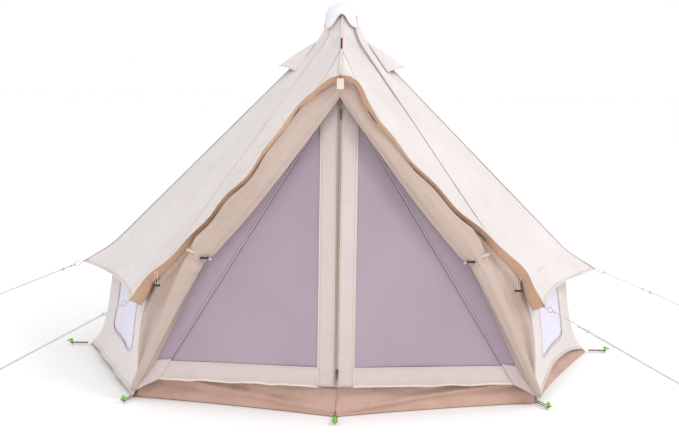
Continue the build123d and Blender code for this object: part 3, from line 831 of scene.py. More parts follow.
@dataclass
class Roof:
    """The roof: one sheet from the crown to the eaves, drawn out over the doors."""

    rows: int = 72
    cols: int = 30
    sag: float = 0.014
    slack: float = 0.0062
    vent_seams: tuple[int, ...] = (1, 3, 5)
    hems: list[np.ndarray] = field(default_factory=list)
    seams: list[np.ndarray] = field(default_factory=list)
    gussets: list[np.ndarray] = field(default_factory=list)
    awning_hems: dict[int, np.ndarray] = field(default_factory=dict)
    hem_rows: list[np.ndarray] = field(default_factory=list)

    def build(self) -> None:
        """Make the roof cloth, its hems and seams."""
        cloth = Cloth("roof_cloth", CANVAS, CANVAS_INSIDE_PAINTED_LIGHT)
        for index in range(1, 7):
            self.gore(cloth, index)
        self.front(cloth, 1)
        self.front(cloth, -1)
        made = cloth.build(("roof_canvas", "roof_top", "eave_skirt", "awning_canvas"))
        hems = self.hem()
        seams = self.seam_strips()
        area = cloth.declare(made)
        LOG.info("roof_cloth: %.2f square metres", area)

    def shares(self) -> np.ndarray:
        """Rows from crown to eave, closer together at the top."""
        return np.linspace(0, 1, self.rows) ** 1.15

    def gore(self, cloth: Cloth, index: int) -> None:
        """Add one plain gore between two corner seams, sagging a little between them."""
        s = self.shares()
        left, right = along(SHAPE.seam(index), s, 0.05), along(SHAPE.seam(index + 1), s, 0.05)
        u = np.linspace(0, 1, self.cols)[None, :, None]
        grid = left[:, None] * (1 - u) + right[:, None] * u
        bow = 4 * u[..., 0] * (1 - u[..., 0])
        down = np.broadcast_to(s[:, None], grid.shape[:2])
        skirt = np.clip((down - 0.90) / 0.10, 0, 1) ** 1.3
        middle = SHAPE.outward(index)
        grid = grid - (skirt * bow)[..., None] * (middle * 0.060 - UP * 0.018)
        flat = flat_places(grid)
        width = np.linalg.norm(right - left, axis=1)[:, None]
        lift = -self.sag * width * bow
        lift += self.creases(flat, index, width, down) * bow ** 0.6
        grid = grid + self.outer(grid, middle)[..., None, :].reshape(grid.shape) * lift[..., None]
        cloth.add(grid, middle + UP, self.vent_gap(grid), flat)
        self.hems.append(grid[-1])
        self.hem_rows.append(self.above_hem(grid, middle + UP))
        self.seams.append(left)

    def creases(self, flat: np.ndarray, seed: int, width: np.ndarray, down: np.ndarray) -> np.ndarray:
        """Slack ripples, with folds that fan out of the two pegged corners."""
        u, v = flat[..., 0], flat[..., 1]
        end, half = float(v.max()), float(width.max()) / 2
        rise = Ripples(seed, 0.42, lean=(1.0, 0.55)).height(u, v) * self.slack * (0.35 + down)
        rise += Ripples(seed + 40, 0.16, lean=(1.0, 0.3)).height(u, v) * self.slack * 0.3
        for side in (-1, 1):
            rise += tension(u, v, (side * half, end), 0.50, 1.9, seed * side) * 0.017
        return rise

    def outer(self, grid: Grid, towards: np.ndarray) -> Grid:
        """Normals that all point out of the tent."""
        normals = grid_normals(grid)
        flip = np.sign(normals @ (towards + UP))
        return normals * np.where(flip == 0, 1, flip)[..., None]

    def above_hem(self, grid: Grid, towards: np.ndarray) -> np.ndarray:
        """The hem's row of stitches: halfway up to the next row of the grid, on its outer face."""
        normals = grid_normals(grid)[-1]
        normals = normals * np.sign(normals @ towards)[:, None]
        return (grid[-1] + grid[-2]) / 2 + normals * 1.2 * MM

    def vent_gap(self, grid: Grid) -> np.ndarray:
        """Squares to keep, leaving a hole under each vent hood."""
        centre = (grid[1:, 1:] + grid[:-1, :-1]) / 2
        keep = np.ones(centre.shape[:2], bool)
        for vent in VENT_CORNERS:
            way = SHAPE.corner(vent, 1.0, 0.0)
            side = np.array([way[1], -way[0], 0.0])
            out, off = centre @ way, np.abs(centre @ side)
            near, far, half = VENT_HOLE
            keep &= ~((out > near) & (out < far) & (off < half))
        return keep

    def front(self, cloth: Cloth, side: int) -> None:
        """Add half of the awning, between its ridge and the front corner seam."""
        s = self.shares()
        ridge_run = np.array([
            [0.0, -SHAPE.crown[0], SHAPE.crown[1]], SHAPE.ridge_start, SHAPE.awning_tip,
        ])
        corner_run = SHAPE.seam(1) * np.array([side, 1, 1])
        ridge, seam = along(ridge_run, s, 0.06), along(corner_run, s, 0.05)
        u = np.linspace(0, 1, self.cols + 14)[None, :, None]
        grid = ridge[:, None] * (1 - u) + seam[:, None] * u
        edge_at = along(SHAPE.awning_edge(side), u[0, :, 0] ** 0.9, 0.035)
        straight = grid[-1]
        pull = (s[:, None] ** 4)[..., None]
        grid = grid + pull * (edge_at - straight)[None]
        flat = flat_places(grid)
        bow = (4 * u * (1 - u))[..., 0]
        way = np.array([side * 0.6, -0.5, 0.6])
        lift = Ripples(70 + side, 0.40, lean=(0.9, 0.6)).height(flat[..., 0], flat[..., 1]) * self.slack
        lift = lift - 0.016 * bow * (s[:, None] > 0.1)
        end, half = float(flat[..., 1].max()), float(np.abs(flat[-1, :, 0]).max())
        for at in (-1, 1):
            lift += tension(flat[..., 0], flat[..., 1], (at * half, end), 0.5, 1.7, 2.0 + at) * 0.010
        lift *= np.minimum(1, 4 * bow)
        flutter = np.sin(np.linspace(0, 1, grid.shape[1]) * 31 + side) * 0.006
        lift += (s[:, None] ** 12) * flutter[None] * np.minimum(1, 3 * bow)
        normals = grid_normals(grid)
        normals = normals * np.sign(normals @ way)[..., None]
        grid = grid + normals * lift[..., None]
        cloth.add(grid, way, None, flat)
        self.hems.append(grid[-1])
        self.hem_rows.append(self.above_hem(grid, way))
        self.awning_hems[side] = grid[-1]
        self.seams.append(seam)
        if side > 0:
            self.seams.append(ridge)
        reach = 0.20 if side < 0 else 0.16
        self.gussets.append(self.across(grid, (0.47, 0.0), (1.0, reach)) + unit(way) * 0.5 * MM)

    def across(self, grid: Grid, start: tuple[float, float], end: tuple[float, float]) -> np.ndarray:
        """Points on a grid between two of its places, each given down and across from 0 to 1."""
        rows, cols = grid.shape[:2]
        t = np.linspace(0, 1, 40)
        down = (start[0] + (end[0] - start[0]) * t) * (rows - 1)
        over = (start[1] + (end[1] - start[1]) * t) * (cols - 1)
        r, c = np.minimum(down.astype(int), rows - 2), np.minimum(over.astype(int), cols - 2)
        fr, fc = (down - r)[:, None], (over - c)[:, None]
        return (
            grid[r, c] * (1 - fr) * (1 - fc) + grid[r + 1, c] * fr * (1 - fc)
            + grid[r, c + 1] * (1 - fr) * fc + grid[r + 1, c + 1] * fr * fc
        )

    def hem(self) -> Piece:
        """A rolled hem along every free edge."""
        parts = [tube_mesh(f"hem_{n}", run, 2.4 * MM, 7 * MM, UP) for n, run in enumerate(self.hems)]
        made = join("roof_hem", parts, CANVAS_HEM)
        return place(made, "tent")

    def seam_strips(self) -> Piece:
        """Flat felled seams: a doubled strip of cloth that stands a little proud, sewn with two rows."""
        parts, rows = [], []
        for n, run in enumerate(self.seams + self.gussets):
            if n in self.vent_seams:
                run = run[np.hypot(run[:, 0], run[:, 1]) > VENT_SEAM_START]
            out = unit(unit(run * LEVEL) + UP)
            half = 8 * MM if n < len(self.seams) else 5 * MM
            parts.append(tube_mesh(f"seam_{n}", run + out * 0.2 * MM, 0.7 * MM, half, out))
            side = unit(np.cross(np.gradient(run, axis=0), out))
            rows += [run + out * 1.6 * MM + side * shift for shift in (-0.6 * half, 0.6 * half)]
        STITCH.build("roof_stitches", rows + self.hem_rows, "tent")
        made = join("roof_seams", parts, CANVAS_HEM)
        return place(made, "tent")


@dataclass
class Vents:
    """Hoods over the roof's vent holes, with mesh screens under them."""

    ridge_top: tuple[float, float] = (0.144, 1.832)
    tip: tuple[float, float] = (0.367, 1.684)
    foot: tuple[float, float, float] = (25.0, 0.290, 1.658)
    net_corners: tuple[tuple[float, float, float], ...] = ((13.0, 0.205, 1.738), (11.0, 0.300, 1.638))

    def build(self) -> None:
        """Make all hoods as one cloth piece, and all screens as another."""
        hoods = Cloth("vent_hood_cloth", CANVAS, CANVAS_INSIDE_PAINTED_LIGHT)
        screens = Cloth("vent_screen_net", WINDOW_SCREEN, WINDOW_SCREEN, thickness=0.6 * MM)
        hems = []
        for corner in VENT_CORNERS:
            angle = SHAPE.angles[corner]
            top = SHAPE.compass(angle, *self.ridge_top)
            tip = SHAPE.compass(angle, *self.tip)
            ridge = along(np.array([top, (top + tip) / 2 + UP * 0.008, tip]), np.linspace(0, 1, 18), 0.05)
            for turn in (-1, 1):
                foot = SHAPE.compass(angle + turn * self.foot[0], *self.foot[1:])
                edge = along(np.array([top, foot]), np.linspace(0, 1, 18))
                u = np.linspace(0, 1, 12)[None, :, None]
                grid = ridge[:, None] * (1 - u) + edge[:, None] * u
                bulge = np.sin(math.pi * u[..., 0]) * np.linspace(0, 1, 18)[:, None] * 0.012
                grid = grid + SHAPE.compass(angle + turn * 12, 0.7, 0.7) * bulge[..., None]
                hoods.add(grid, SHAPE.compass(angle + turn * 20, 1, 1))
                hems.append(grid[-1])
            self.screen(screens, angle)
        hood = hoods.build(("vent_hoods",))
        rims = [tube_mesh(f"rim_{n}", run, 2 * MM, 5 * MM, UP) for n, run in enumerate(hems)]
        hem = place(join("vent_hood_hem", rims, CANVAS_HEM), "tent")
        hoods.declare(hood)
        net = screens.build(("vent_screens",))
        screens.declare(net)
        LOG.info("vents: %d hoods", len(VENT_CORNERS))

    def screen(self, net: Cloth, angle: float) -> None:
        """Add the net that closes one vent hole, just under the roof."""
        rows = np.linspace(0, 1, 8)
        corners = self.net_corners
        left, right = (
            along(np.array([SHAPE.compass(angle + turn * wide, r, z) for wide, r, z in corners]), rows)
            for turn in (-1, 1)
        )
        u = np.linspace(0, 1, 8)[None, :, None]
        net.add(left[:, None] * (1 - u) + right[:, None] * u, SHAPE.compass(angle, 1, 1))


@dataclass
class ApexCap:
    """The cloth cap over the pole's top, its rim hanging in soft scallops over the roof."""

    top: float = 2.048
    rim: float = 1.944
    scallop: float = 0.040
    dome: float = 0.088
    crown_drop: float = 0.055

    def roof_radius(self, height: np.ndarray) -> np.ndarray:
        """The roof's radius at a height near the top."""
        (low_r, low_z), (top_r, top_z) = SHAPE.shoulder, SHAPE.crown
        return np.interp(height, [low_z, top_z], [low_r, top_r])

    def build(self) -> None:
        """Make the cap with its pleats, and the hem at its rim."""
        turn = np.linspace(0, math.tau, 129)[None]
        s = np.linspace(0, 1, 34)[:, None]
        wave = np.cos(turn * 4)
        rim = self.rim + self.scallop * np.sign(wave) * np.abs(wave) ** 0.8 + 0.006 * np.sin(turn * 3)
        arc = np.clip(s * 2, 0, 1) * math.pi / 2
        drop = np.clip(s * 2 - 1, 0, 1)
        brow = self.top - self.crown_drop * (1 - np.cos(arc))
        height = brow + (rim - brow) * drop
        radius = np.maximum(self.dome * np.sin(arc), (self.roof_radius(height) + 0.013) * (s > 0.5))
        pleat = 1 + 0.025 * np.sin(turn * 8 + 0.6) * s ** 2 + 0.020 * np.sin(turn * 3 + 1) * s
        wide = radius * pleat
        grid = np.stack([wide * np.sin(turn) - 0.006, -wide * np.cos(turn), height], axis=-1)
        cloth = Cloth("apex_cap_cloth", CANVAS_CAP, CANVAS_INSIDE_PAINTED_LIGHT)
        middle = grid[grid.shape[0] // 2, grid.shape[1] // 2]
        cloth.add(grid, middle * LEVEL)
        made = cloth.build(("apex_cap",), merge=0.4 * MM)
        hem = tube_mesh("cap_hem", grid[-1], 1.6 * MM, 4 * MM, UP)
        hem = place(join("apex_cap_hem", [hem], CANVAS_HEM), "tent")
        out = unit(grid[-1] * LEVEL)
        STITCH.build("apex_cap_stitches", [grid[-3] + out * 1.2 * MM], "tent")
        cloth.declare(made)
        LOG.info("apex_cap_cloth: done")


# ---------------------------------------------------------------- walls and windows
@dataclass
class Walls:
    """Six low walls, drawn down to their pegs, four of them with a window."""

    window_sides: tuple[int, ...] = (1, 3, 4, 6)
    window: tuple[float, float] = (0.640, 0.300)
    sill: float = 0.165
    squareness: float = 9.0
    rows: int = 44
    cols: int = 84
    fullness: tuple[tuple[float, float], ...] = (
        (0.0, 0.028), (0.1, 0.062), (0.2, 0.090), (0.3, 0.100),
        (0.4, 0.096), (0.5, 0.075), (0.56, 0.045), (0.62, 0.005),
    )
    sewing: list[np.ndarray] = field(default_factory=list)

    def build(self) -> None:
        """Make the walls, the window nets and the bindings round them."""
        cloth = Cloth("wall_cloth", CANVAS, CANVAS_INSIDE_PAINTED_LIGHT)
        nets = Cloth("window_net", WINDOW_SCREEN, WINDOW_SCREEN, thickness=0.6 * MM)
        bindings, hems = [], []
        for index in range(1, 7):
            grid, flat = self.panel(index)
            keep = None
            if index in self.window_sides:
                keep, net, rim = self.window_in(grid, flat)
                nets.add(net, SHAPE.outward(index))
                bindings.append(tube_mesh(f"binding_{index}", rim, 2 * MM, 11 * MM, SHAPE.outward(index)))
                self.sewing.append(rim + SHAPE.outward(index) * 2.6 * MM)
            cloth.add(grid, SHAPE.outward(index), keep, flat)
            hems.append(tube_mesh(f"wall_hem_{index}", grid[-1], 2 * MM, 6 * MM, UP))
            self.sewing.append(grid[-2] + SHAPE.outward(index) * 1.4 * MM)
        STITCH.build("wall_stitches", self.sewing, "tent")
        made = cloth.build(("wall_panels",))
        net = nets.build(("window_meshes",))
        # Painted shade: the bindings take the darkened band canvas.
        binding = place(join("window_binding", bindings, CANVAS_BAND_PAINTED_SHADE), "tent")
        hem = place(join("wall_hem", hems, CANVAS_HEM), "tent")
        cloth.declare(
            made,
        )
        nets.declare(net)
        LOG.info("wall_cloth: %d windows", len(self.window_sides))

    def lean(self, height: np.ndarray, corner: int) -> np.ndarray:
        """A corner's radius at a height: steep above, flared at the ground, and fuller beside the doors."""
        share = np.clip(height / SHAPE.wall_top[1], 0, 1)
        radius = 1.332 + 0.078 * (1 - share) + 0.085 * (1 - share) ** 7
        if corner % 8 in (1, 7):
            heights, fuller = zip(*self.fullness)
            radius = radius + np.interp(height, heights, fuller)
        return radius

    def panel(self, index: int) -> tuple[Grid, np.ndarray]:
        """One wall between two corners, with its flat places."""
        top = SHAPE.wall_top[1] - 0.022
        v = np.linspace(0, 1, self.rows)[:, None]
        u = np.linspace(0, 1, self.cols)[None]
        bow = 4 * u * (1 - u)
        hem_height = 0.016 + (0.016 if index == 6 else 0.070) * bow ** 0.8
        height = top + (hem_height - top) * v
        a, b = SHAPE.corner(index, 1, 0), SHAPE.corner(index + 1, 1, 0)
        start = a * self.lean(height, index)[..., None] * (1 - u[..., None])
        grid = start + b * self.lean(height, index + 1)[..., None] * u[..., None]
        grid = grid + UP * height[..., None]
        middle = SHAPE.outward(index)
        if index == 6:
            grid = grid + middle * (0.020 * bow * v ** 3)[..., None]
        flat = flat_places(grid)
        rise = Ripples(index + 11, 0.30, lean=(1.0, 0.4)).height(flat[..., 0], flat[..., 1]) * 0.004
        width = float(np.abs(flat[..., 0]).max())
        for side in (-1, 1):
            corner = (side * width, float(flat[..., 1].max()))
            rise = rise + tension(flat[..., 0], flat[..., 1], corner, 0.30, 2.2, index + side) * 0.009
        rise = rise * bow ** 0.5 - 0.020 * bow * np.sin(math.pi * v)
        return grid + middle * rise[..., None], flat

    def window_in(self, grid: Grid, flat: np.ndarray) -> tuple[np.ndarray, Grid, np.ndarray]:
        """Cut a window: the squares to keep, the net behind it and the rim's run."""
        height = grid[..., 2]
        half = self.window[0] / 2
        low, high = self.sill, self.sill + self.window[1]
        mid_u = (flat[1:, 1:, 0] + flat[:-1, :-1, 0]) / 2
        mid_h = (height[1:, 1:] + height[:-1, :-1]) / 2
        off_u, off_h = np.abs(mid_u) / half, np.abs(mid_h - (low + high) / 2) / ((high - low) / 2)
        keep = off_u ** self.squareness + off_h ** self.squareness > 1
        middle = unit(grid[self.rows // 2, self.cols // 2] * LEVEL)
        spread = self.sampler(grid, flat)
        us, hs = np.linspace(-half - 0.02, half + 0.02, 30), np.linspace(high + 0.02, low - 0.02, 16)
        net = np.array([[spread(u, h) for u in us] for h in hs]) - middle * 2 * MM
        squash = 2 / self.squareness
        rim = []
        for t in np.linspace(0, math.tau, 73):
            c, s = math.cos(t), math.sin(t)
            u = half * math.copysign(abs(c) ** squash, c)
            h = (low + high) / 2 + (high - low) / 2 * math.copysign(abs(s) ** squash, s)
            rim.append(spread(u, h))
        return keep, net, np.array(rim) + middle * 0.5 * MM

    def sampler(self, grid: Grid, flat: np.ndarray):
        """A function that finds the wall's surface at a flat place and a height."""
        cols = flat[self.rows // 2, :, 0]

        def find(u: float, height: float) -> np.ndarray:
            """Read the wall at distance u from its middle and at a height."""
            column = np.array([np.interp(u, cols, grid[r, :, 0]) for r in range(self.rows)])
            depth = np.array([np.interp(u, cols, grid[r, :, 1]) for r in range(self.rows)])
            tall = np.array([np.interp(u, cols, grid[r, :, 2]) for r in range(self.rows)])
            order = slice(None, None, -1)
            return np.array([
                np.interp(height, tall[order], column[order]),
                np.interp(height, tall[order], depth[order]),
                height,
            ])

        return find


# ---------------------------------------------------------------- doors
class Side(Enum):
    """Left or right, as seen by someone who faces the doors."""

    LEFT = -1
    RIGHT = 1

    @property
    def word(self) -> str:
        """The side's name as the frame's nodes spell it."""
        return self.name.lower()


@dataclass
class Door:
    """One mesh door in its canvas border, flat from the hinge line to the zip."""

    side: Side
    foot: tuple[float, float, float] = (0.893, -1.142, 0.115)
    centre: tuple[float, float, float] = (0.0005, -1.398, 0.155)
    top: tuple[float, float, float] = (0.004, -1.150, 1.560)
    band: float = 0.090
    sill: float = 0.092
    tape: float = 0.006

    def __post_init__(self) -> None:
        """Work out the door's plane."""
        turn = np.array([self.side.value, 1, 1])
        self.a, self.b, self.c = (np.array(p) * turn for p in (self.foot, self.centre, self.top))
        self.x = unit(self.b - self.a)
        normal = np.cross(self.b - self.a, self.c - self.a)
        self.out = unit(normal if normal[1] < 0 else -normal)
        self.y = unit(self.c - self.a - ((self.c - self.a) @ self.x) * self.x)
        self.width = float(np.linalg.norm(self.b - self.a))
        self.peak = np.array([(self.c - self.a) @ self.x, (self.c - self.a) @ self.y])

    @property
    def body(self) -> str:
        """The moving body that carries this door."""
        return f"door_{self.side.word}"

    def at(self, x: np.ndarray, y: np.ndarray, lift: np.ndarray | float = 0.0) -> np.ndarray:
        """A point of the door's plane, lifted outwards."""
        x, y, lift = np.broadcast_arrays(x, y, lift)
        return self.a + x[..., None] * self.x + y[..., None] * self.y + lift[..., None] * self.out

    def edges(self, y: np.ndarray, zip_gap: float) -> tuple[np.ndarray, np.ndarray]:
        """Where the hinge line and a line beside the zip lie at height y."""
        tall = self.peak[1]
        hinge = self.peak[0] * y / tall
        slope = np.array([self.peak[0] - self.width, tall])
        zip_x = self.width + slope[0] * y / tall - zip_gap * np.hypot(*slope) / tall
        return hinge, zip_x

    def strip(
        self, cloth: Cloth, low: float, gap_a: float, gap_b: float,
        cols: int, rows: int, lift: float, seed: int, rough: float,
    ) -> Grid:
        """Add cloth between two lines beside the zip, from a height up to where they meet the hinge line."""
        tall = self.peak[1]
        reach = []
        for gap in (gap_a, gap_b):
            h0, z0 = self.edges(np.zeros(1), gap)
            h1, z1 = self.edges(np.full(1, tall), gap)
            reach.append(float(tall * (z0 - h0)[0] / ((z0 - h0) - (z1 - h1))[0]))
        v = np.linspace(0, 1, rows)[:, None]
        u = np.linspace(0, 1, cols)[None]
        outer_y = low + (reach[0] - low) * v
        inner_y = low + (reach[1] - low) * v
        outer_x = self.edges(outer_y, gap_a)[1]
        inner_x = self.edges(inner_y, gap_b)[1]
        x, y = inner_x + (outer_x - inner_x) * u, inner_y + (outer_y - inner_y) * u
        wave = Ripples(seed, 0.22, lean=(1, 0.35)).height(x, y) * rough
        grid = self.at(x, y, lift + wave)
        cloth.add(grid, self.out)
        return grid

    def build(self) -> None:
        """Make the net, the border bands and the zip's half."""
        word = self.side.word
        seed = 20 + self.side.value
        net = Cloth(f"door_net_{word}", DOOR_SCREEN, DOOR_SCREEN, 0.6 * MM, self.body)
        self.net_panel(net, seed)
        made = net.build((f"door_mesh_{word}",))
        net.declare(made)
        # Painted shade: the door's bands take the darkened band canvas.
        border = Cloth(f"door_band_{word}", CANVAS_BAND_PAINTED_SHADE, CANVAS_INSIDE_PAINTED_LIGHT, 1.6 * MM, self.body)
        grid = self.strip(border, 0.0, self.tape, self.band, 10, 70, 2.2 * MM, seed + 5, 0.0012)
        sill = self.sill_band(border, seed)
        piece = border.build((f"door_border_{word}",), merge=0.05 * MM)
        hem = tube_mesh(f"sill_hem_{word}", sill[-1], 2 * MM, 5 * MM, self.out)
        edge = tube_mesh(f"zip_hem_{word}", grid[:, 0], 0.9 * MM, 2.5 * MM, self.out)
        trim = place(join(f"door_trim_{word}", [hem, edge], CANVAS_HEM), self.body)
        border.declare(piece)
        self.stitches(grid, sill)
        LOG.info("door_%s: net and border", word)

    def stitches(self, band: Grid, sill: Grid) -> None:
        """Sew the bands down, and close the zip with its coil."""
        lift = self.out * 1.2 * MM
        rows = [band[:, 1] + lift, band[:, -2] + lift, sill[1] + lift, sill[-3] + lift]
        STITCH.build(f"door_stitches_{self.side.word}", rows, self.body)
        y = np.linspace(0.004, self.peak[1] - 0.004, 60)
        if self.side is Side.LEFT:
            back = self.at(self.edges(y, 0.0)[1], y, -5 * MM)
            tape = tube_mesh("tape", back, 9 * MM, 0.5 * MM, np.array([1.0, 0.0, 0.0]))
            place(join("zip_backing_tape", [tape], ZIP_TAPE), self.body)
        line = self.at(self.edges(y, 0.0035)[1], y, 3.6 * MM)
        TEETH.build(f"zip_teeth_{self.side.word}", [line], self.body)

    def net_panel(self, net: Cloth, seed: int) -> None:
        """The mesh triangle, from just under the bands."""
        low = self.sill - 0.012
        tall = self.peak[1]
        rows, cols = 60, 34
        gap = self.band - 0.012
        h0, z0 = self.edges(np.zeros(1), gap)
        h1, z1 = self.edges(np.full(1, tall), gap)
        reach = float(tall * (z0 - h0)[0] / ((z0 - h0) - (z1 - h1))[0]) - 0.002
        y = (low + (reach - low) * np.linspace(0, 1, rows))[:, None]
        u = np.linspace(0, 1, cols)[None]
        hinge, zip_x = self.edges(y, gap)
        x = hinge + (zip_x - hinge) * u
        bow = 4 * u * (1 - u)
        wave = (Ripples(seed + 9, 0.5, lean=(0.7, 1.0)).height(x, y) * 0.0012 - 0.004) * bow
        net.add(self.at(x, y, wave - 0.4 * MM), self.out)

    def sill_band(self, border: Cloth, seed: int) -> Grid:
        """The canvas band along the bottom, puckered where it meets the groundsheet."""
        rows, cols = 12, 90
        y = np.linspace(self.sill, 0.0, rows)[:, None]
        u = np.linspace(0, 1, cols)[None]
        hinge, zip_x = self.edges(y, self.band - 0.004)
        x = hinge + (zip_x - hinge) * u
        down = 1 - y / self.sill
        pucker = Ripples(seed + 7, 0.16, lean=(1.0, 0.2)).height(x, y) * 0.0024
        pucker = pucker + np.sin(x * 29 + 2 * seed) * 0.0016
        wave = Ripples(seed + 3, 0.25).height(x, y) * 0.0015 + pucker * down ** 2
        grid = self.at(x, y + pucker * 0.8 * down ** 3, 2.4 * MM + wave)
        border.add(grid, self.out)
        return grid


@dataclass
class Surround:
    """What frames a door and stays put: side mesh, jamb and the tied-back outer flap."""

    side: Side
    hem: np.ndarray

    def points(self, *listed: tuple[float, float, float]) -> np.ndarray:
        """Points given for the right-hand side, moved to this one."""
        return np.array(listed) * np.array([self.side.value, 1, 1])

    def inward(self, edge: np.ndarray) -> np.ndarray:
        """The way from each point of the awning's edge towards the door."""
        forward = unit(np.gradient(edge, axis=0))
        return unit(np.cross(forward, FORWARD) * self.side.value)

    def build(self) -> None:
        """Make the side mesh, the jamb and the flap."""
        word = self.side.word
        self.side_net(word)
        self.sill_return(word)
        self.jamb(word)
        self.facing(word)
        self.flap(word)
        LOG.info("surround_%s: net, jamb and flap", word)

    def side_net(self, word: str) -> None:
        """A sliver of the same net between the hinge line and the flap."""
        rows = np.linspace(0, 1, 50)
        inner = along(self.points((0.894, -1.1415, 0.112), (0.004, -1.1495, 1.562)), rows)
        bulge = self.points(
            (0.935, -1.140, 0.118), (0.880, -1.142, 0.300), (0.680, -1.144, 0.745),
            (0.440, -1.146, 1.070), (0.014, -1.149, 1.585),
        )
        outer = along(bulge, rows, 0.1)
        u = np.linspace(0, 1, 8)[None, :, None]
        net = Cloth(f"side_net_{word}", DOOR_SCREEN, DOOR_SCREEN, 0.6 * MM)
        net.add(inner[:, None] * (1 - u) + outer[:, None] * u, FORWARD)
        made = net.build((f"side_mesh_{word}",))
        net.declare(made)
        tape = inner + np.array([self.side.value * 0.004, -0.003, 0.002])
        strip = tube_mesh("hinge", tape, 0.7 * MM, 3.2 * MM, FORWARD)
        place(join(f"hinge_tape_{word}", [strip], HINGE_TAPE), "tent")

    def facing(self, word: str) -> None:
        """The awning's turned-under edge, tan on both faces: painted light for the glow through the canvas
        and bounced under it.
        """
        v = np.linspace(0, 1, 120)
        edge = along(self.hem, v, 0.010)
        inward = self.inward(edge)
        wide = 0.022 + 0.018 * np.sin(math.pi * np.clip(v * 1.05 - 0.05, 0, 1))
        wide = wide + 0.040 * np.clip((v - 0.7) / 0.3, 0, 1)
        wide = wide + 0.006 * np.sin(v * 26) + 0.004 * np.sin(v * 61)
        u = np.linspace(0, 1, 10)[None, :, None]
        grid = edge[:, None] + inward[:, None] * u * wide[:, None, None]
        grid = grid - FORWARD * (0.004 + 0.030 * u ** 1.3)
        # Painted light: tan inner canvas on both faces of this strip, for the glow under the awning.
        cloth = Cloth(f"awning_facing_{word}", CANVAS_INSIDE_PAINTED_LIGHT, CANVAS_INSIDE_PAINTED_LIGHT)
        cloth.add(grid, FORWARD)
        cloth.declare(cloth.build())

    def sill_return(self, word: str) -> None:
        """The canvas that carries the door's sill on to the corner's peg."""
        v, u = np.linspace(0, 1, 14)[:, None, None], np.linspace(0, 1, 16)[None, :, None]
        top = along(self.points((0.829, -1.1455, 0.218), (0.965, -1.140, 0.205)), u[0, :, 0])
        foot = along(self.points((0.893, -1.1440, 0.113), (1.020, -1.146, 0.048)), u[0, :, 0])
        grid = top[None] * (1 - v) + foot[None] * v
        wave = np.sin(u[..., 0] * 9) * v[..., 0] * 0.003
        grid = grid + FORWARD * (0.0025 + wave)[..., None]
        # Painted shade: the sill return takes the darkened band canvas.
        cloth = Cloth(f"sill_return_{word}", CANVAS_BAND_PAINTED_SHADE, CANVAS_INSIDE_PAINTED_LIGHT)
        cloth.add(grid, FORWARD)
        cloth.declare(cloth.build())

    def jamb(self, word: str) -> None:
        """The canvas beside the door, from under the awning's edge down to the peg, in soft lobes."""
        rows, cols = 96, 60
        v, u = np.linspace(0, 1, rows), np.linspace(0, 1, cols)
        edge = along(self.hem, np.linspace(0, 1, 24), 0.02)
        tuck = edge + self.inward(edge) * 0.022 + np.array([0, 0.036, 0])
        tuck += np.array([0, 0.020, 0]) * np.linspace(0, 1, len(tuck))[:, None]
        tuck -= np.array([self.side.value * 0.010, 0, 0.016]) * np.linspace(0, 1, len(tuck))[:, None] ** 3
        walls = Walls()
        rim_z = np.array([0.560, 0.480, 0.400, 0.300, 0.200, 0.110, 0.050])
        rim_r = walls.lean(rim_z, 1) + 0.003
        wall = self.points(*(SHAPE.corner(1, r, z) for r, z in zip(rim_r, rim_z)))
        wall[-1] = self.points((1.035, -1.140, 0.046))[0]
        outer = along(np.concatenate([tuck[:-3], wall]), v, 0.04)
        inner = along(self.points(
            (0.000, -1.168, 1.575), (0.180, -1.158, 1.370), (0.400, -1.153, 1.100),
            (0.650, -1.151, 0.745), (0.860, -1.150, 0.300), (0.930, -1.150, 0.150),
            (1.028, -1.150, 0.045),
        ), v, 0.06)
        across = u[None, :, None]
        front = inner[:, None] * (1 - across) + outer[:, None] * across
        flat = flat_places(front)
        bow = np.minimum(1, 4 * u[None] * (1 - u[None]))
        fat = np.sin(math.pi * np.clip((v[:, None] - 0.40) / 0.60, 0, 1)) ** 0.6
        lobes = 0.5 - 0.5 * np.cos(u[None] * math.tau * 1.6 - 0.2 + 0.6 * v[:, None])
        lift = (lobes * 0.040 + 0.014) * fat * bow
        soft = Ripples(31 + self.side.value, 0.2, lean=(1.0, 0.3))
        lift = lift + soft.height(flat[..., 0], flat[..., 1]) * 0.003 * bow
        front = front + np.array([self.side.value * 0.35, -1, 0.05]) * lift[..., None]
        # Painted shade: the jamb takes the darkened flap canvas.
        cloth = Cloth(f"jamb_{word}", CANVAS_FLAP_PAINTED_SHADE, CANVAS_INSIDE_PAINTED_LIGHT)
        cloth.add(front, (self.side.value * 0.3, -1, 0.1), None, flat)
        made = cloth.build((f"door_jamb_{word}",))
        cloth.declare(made)

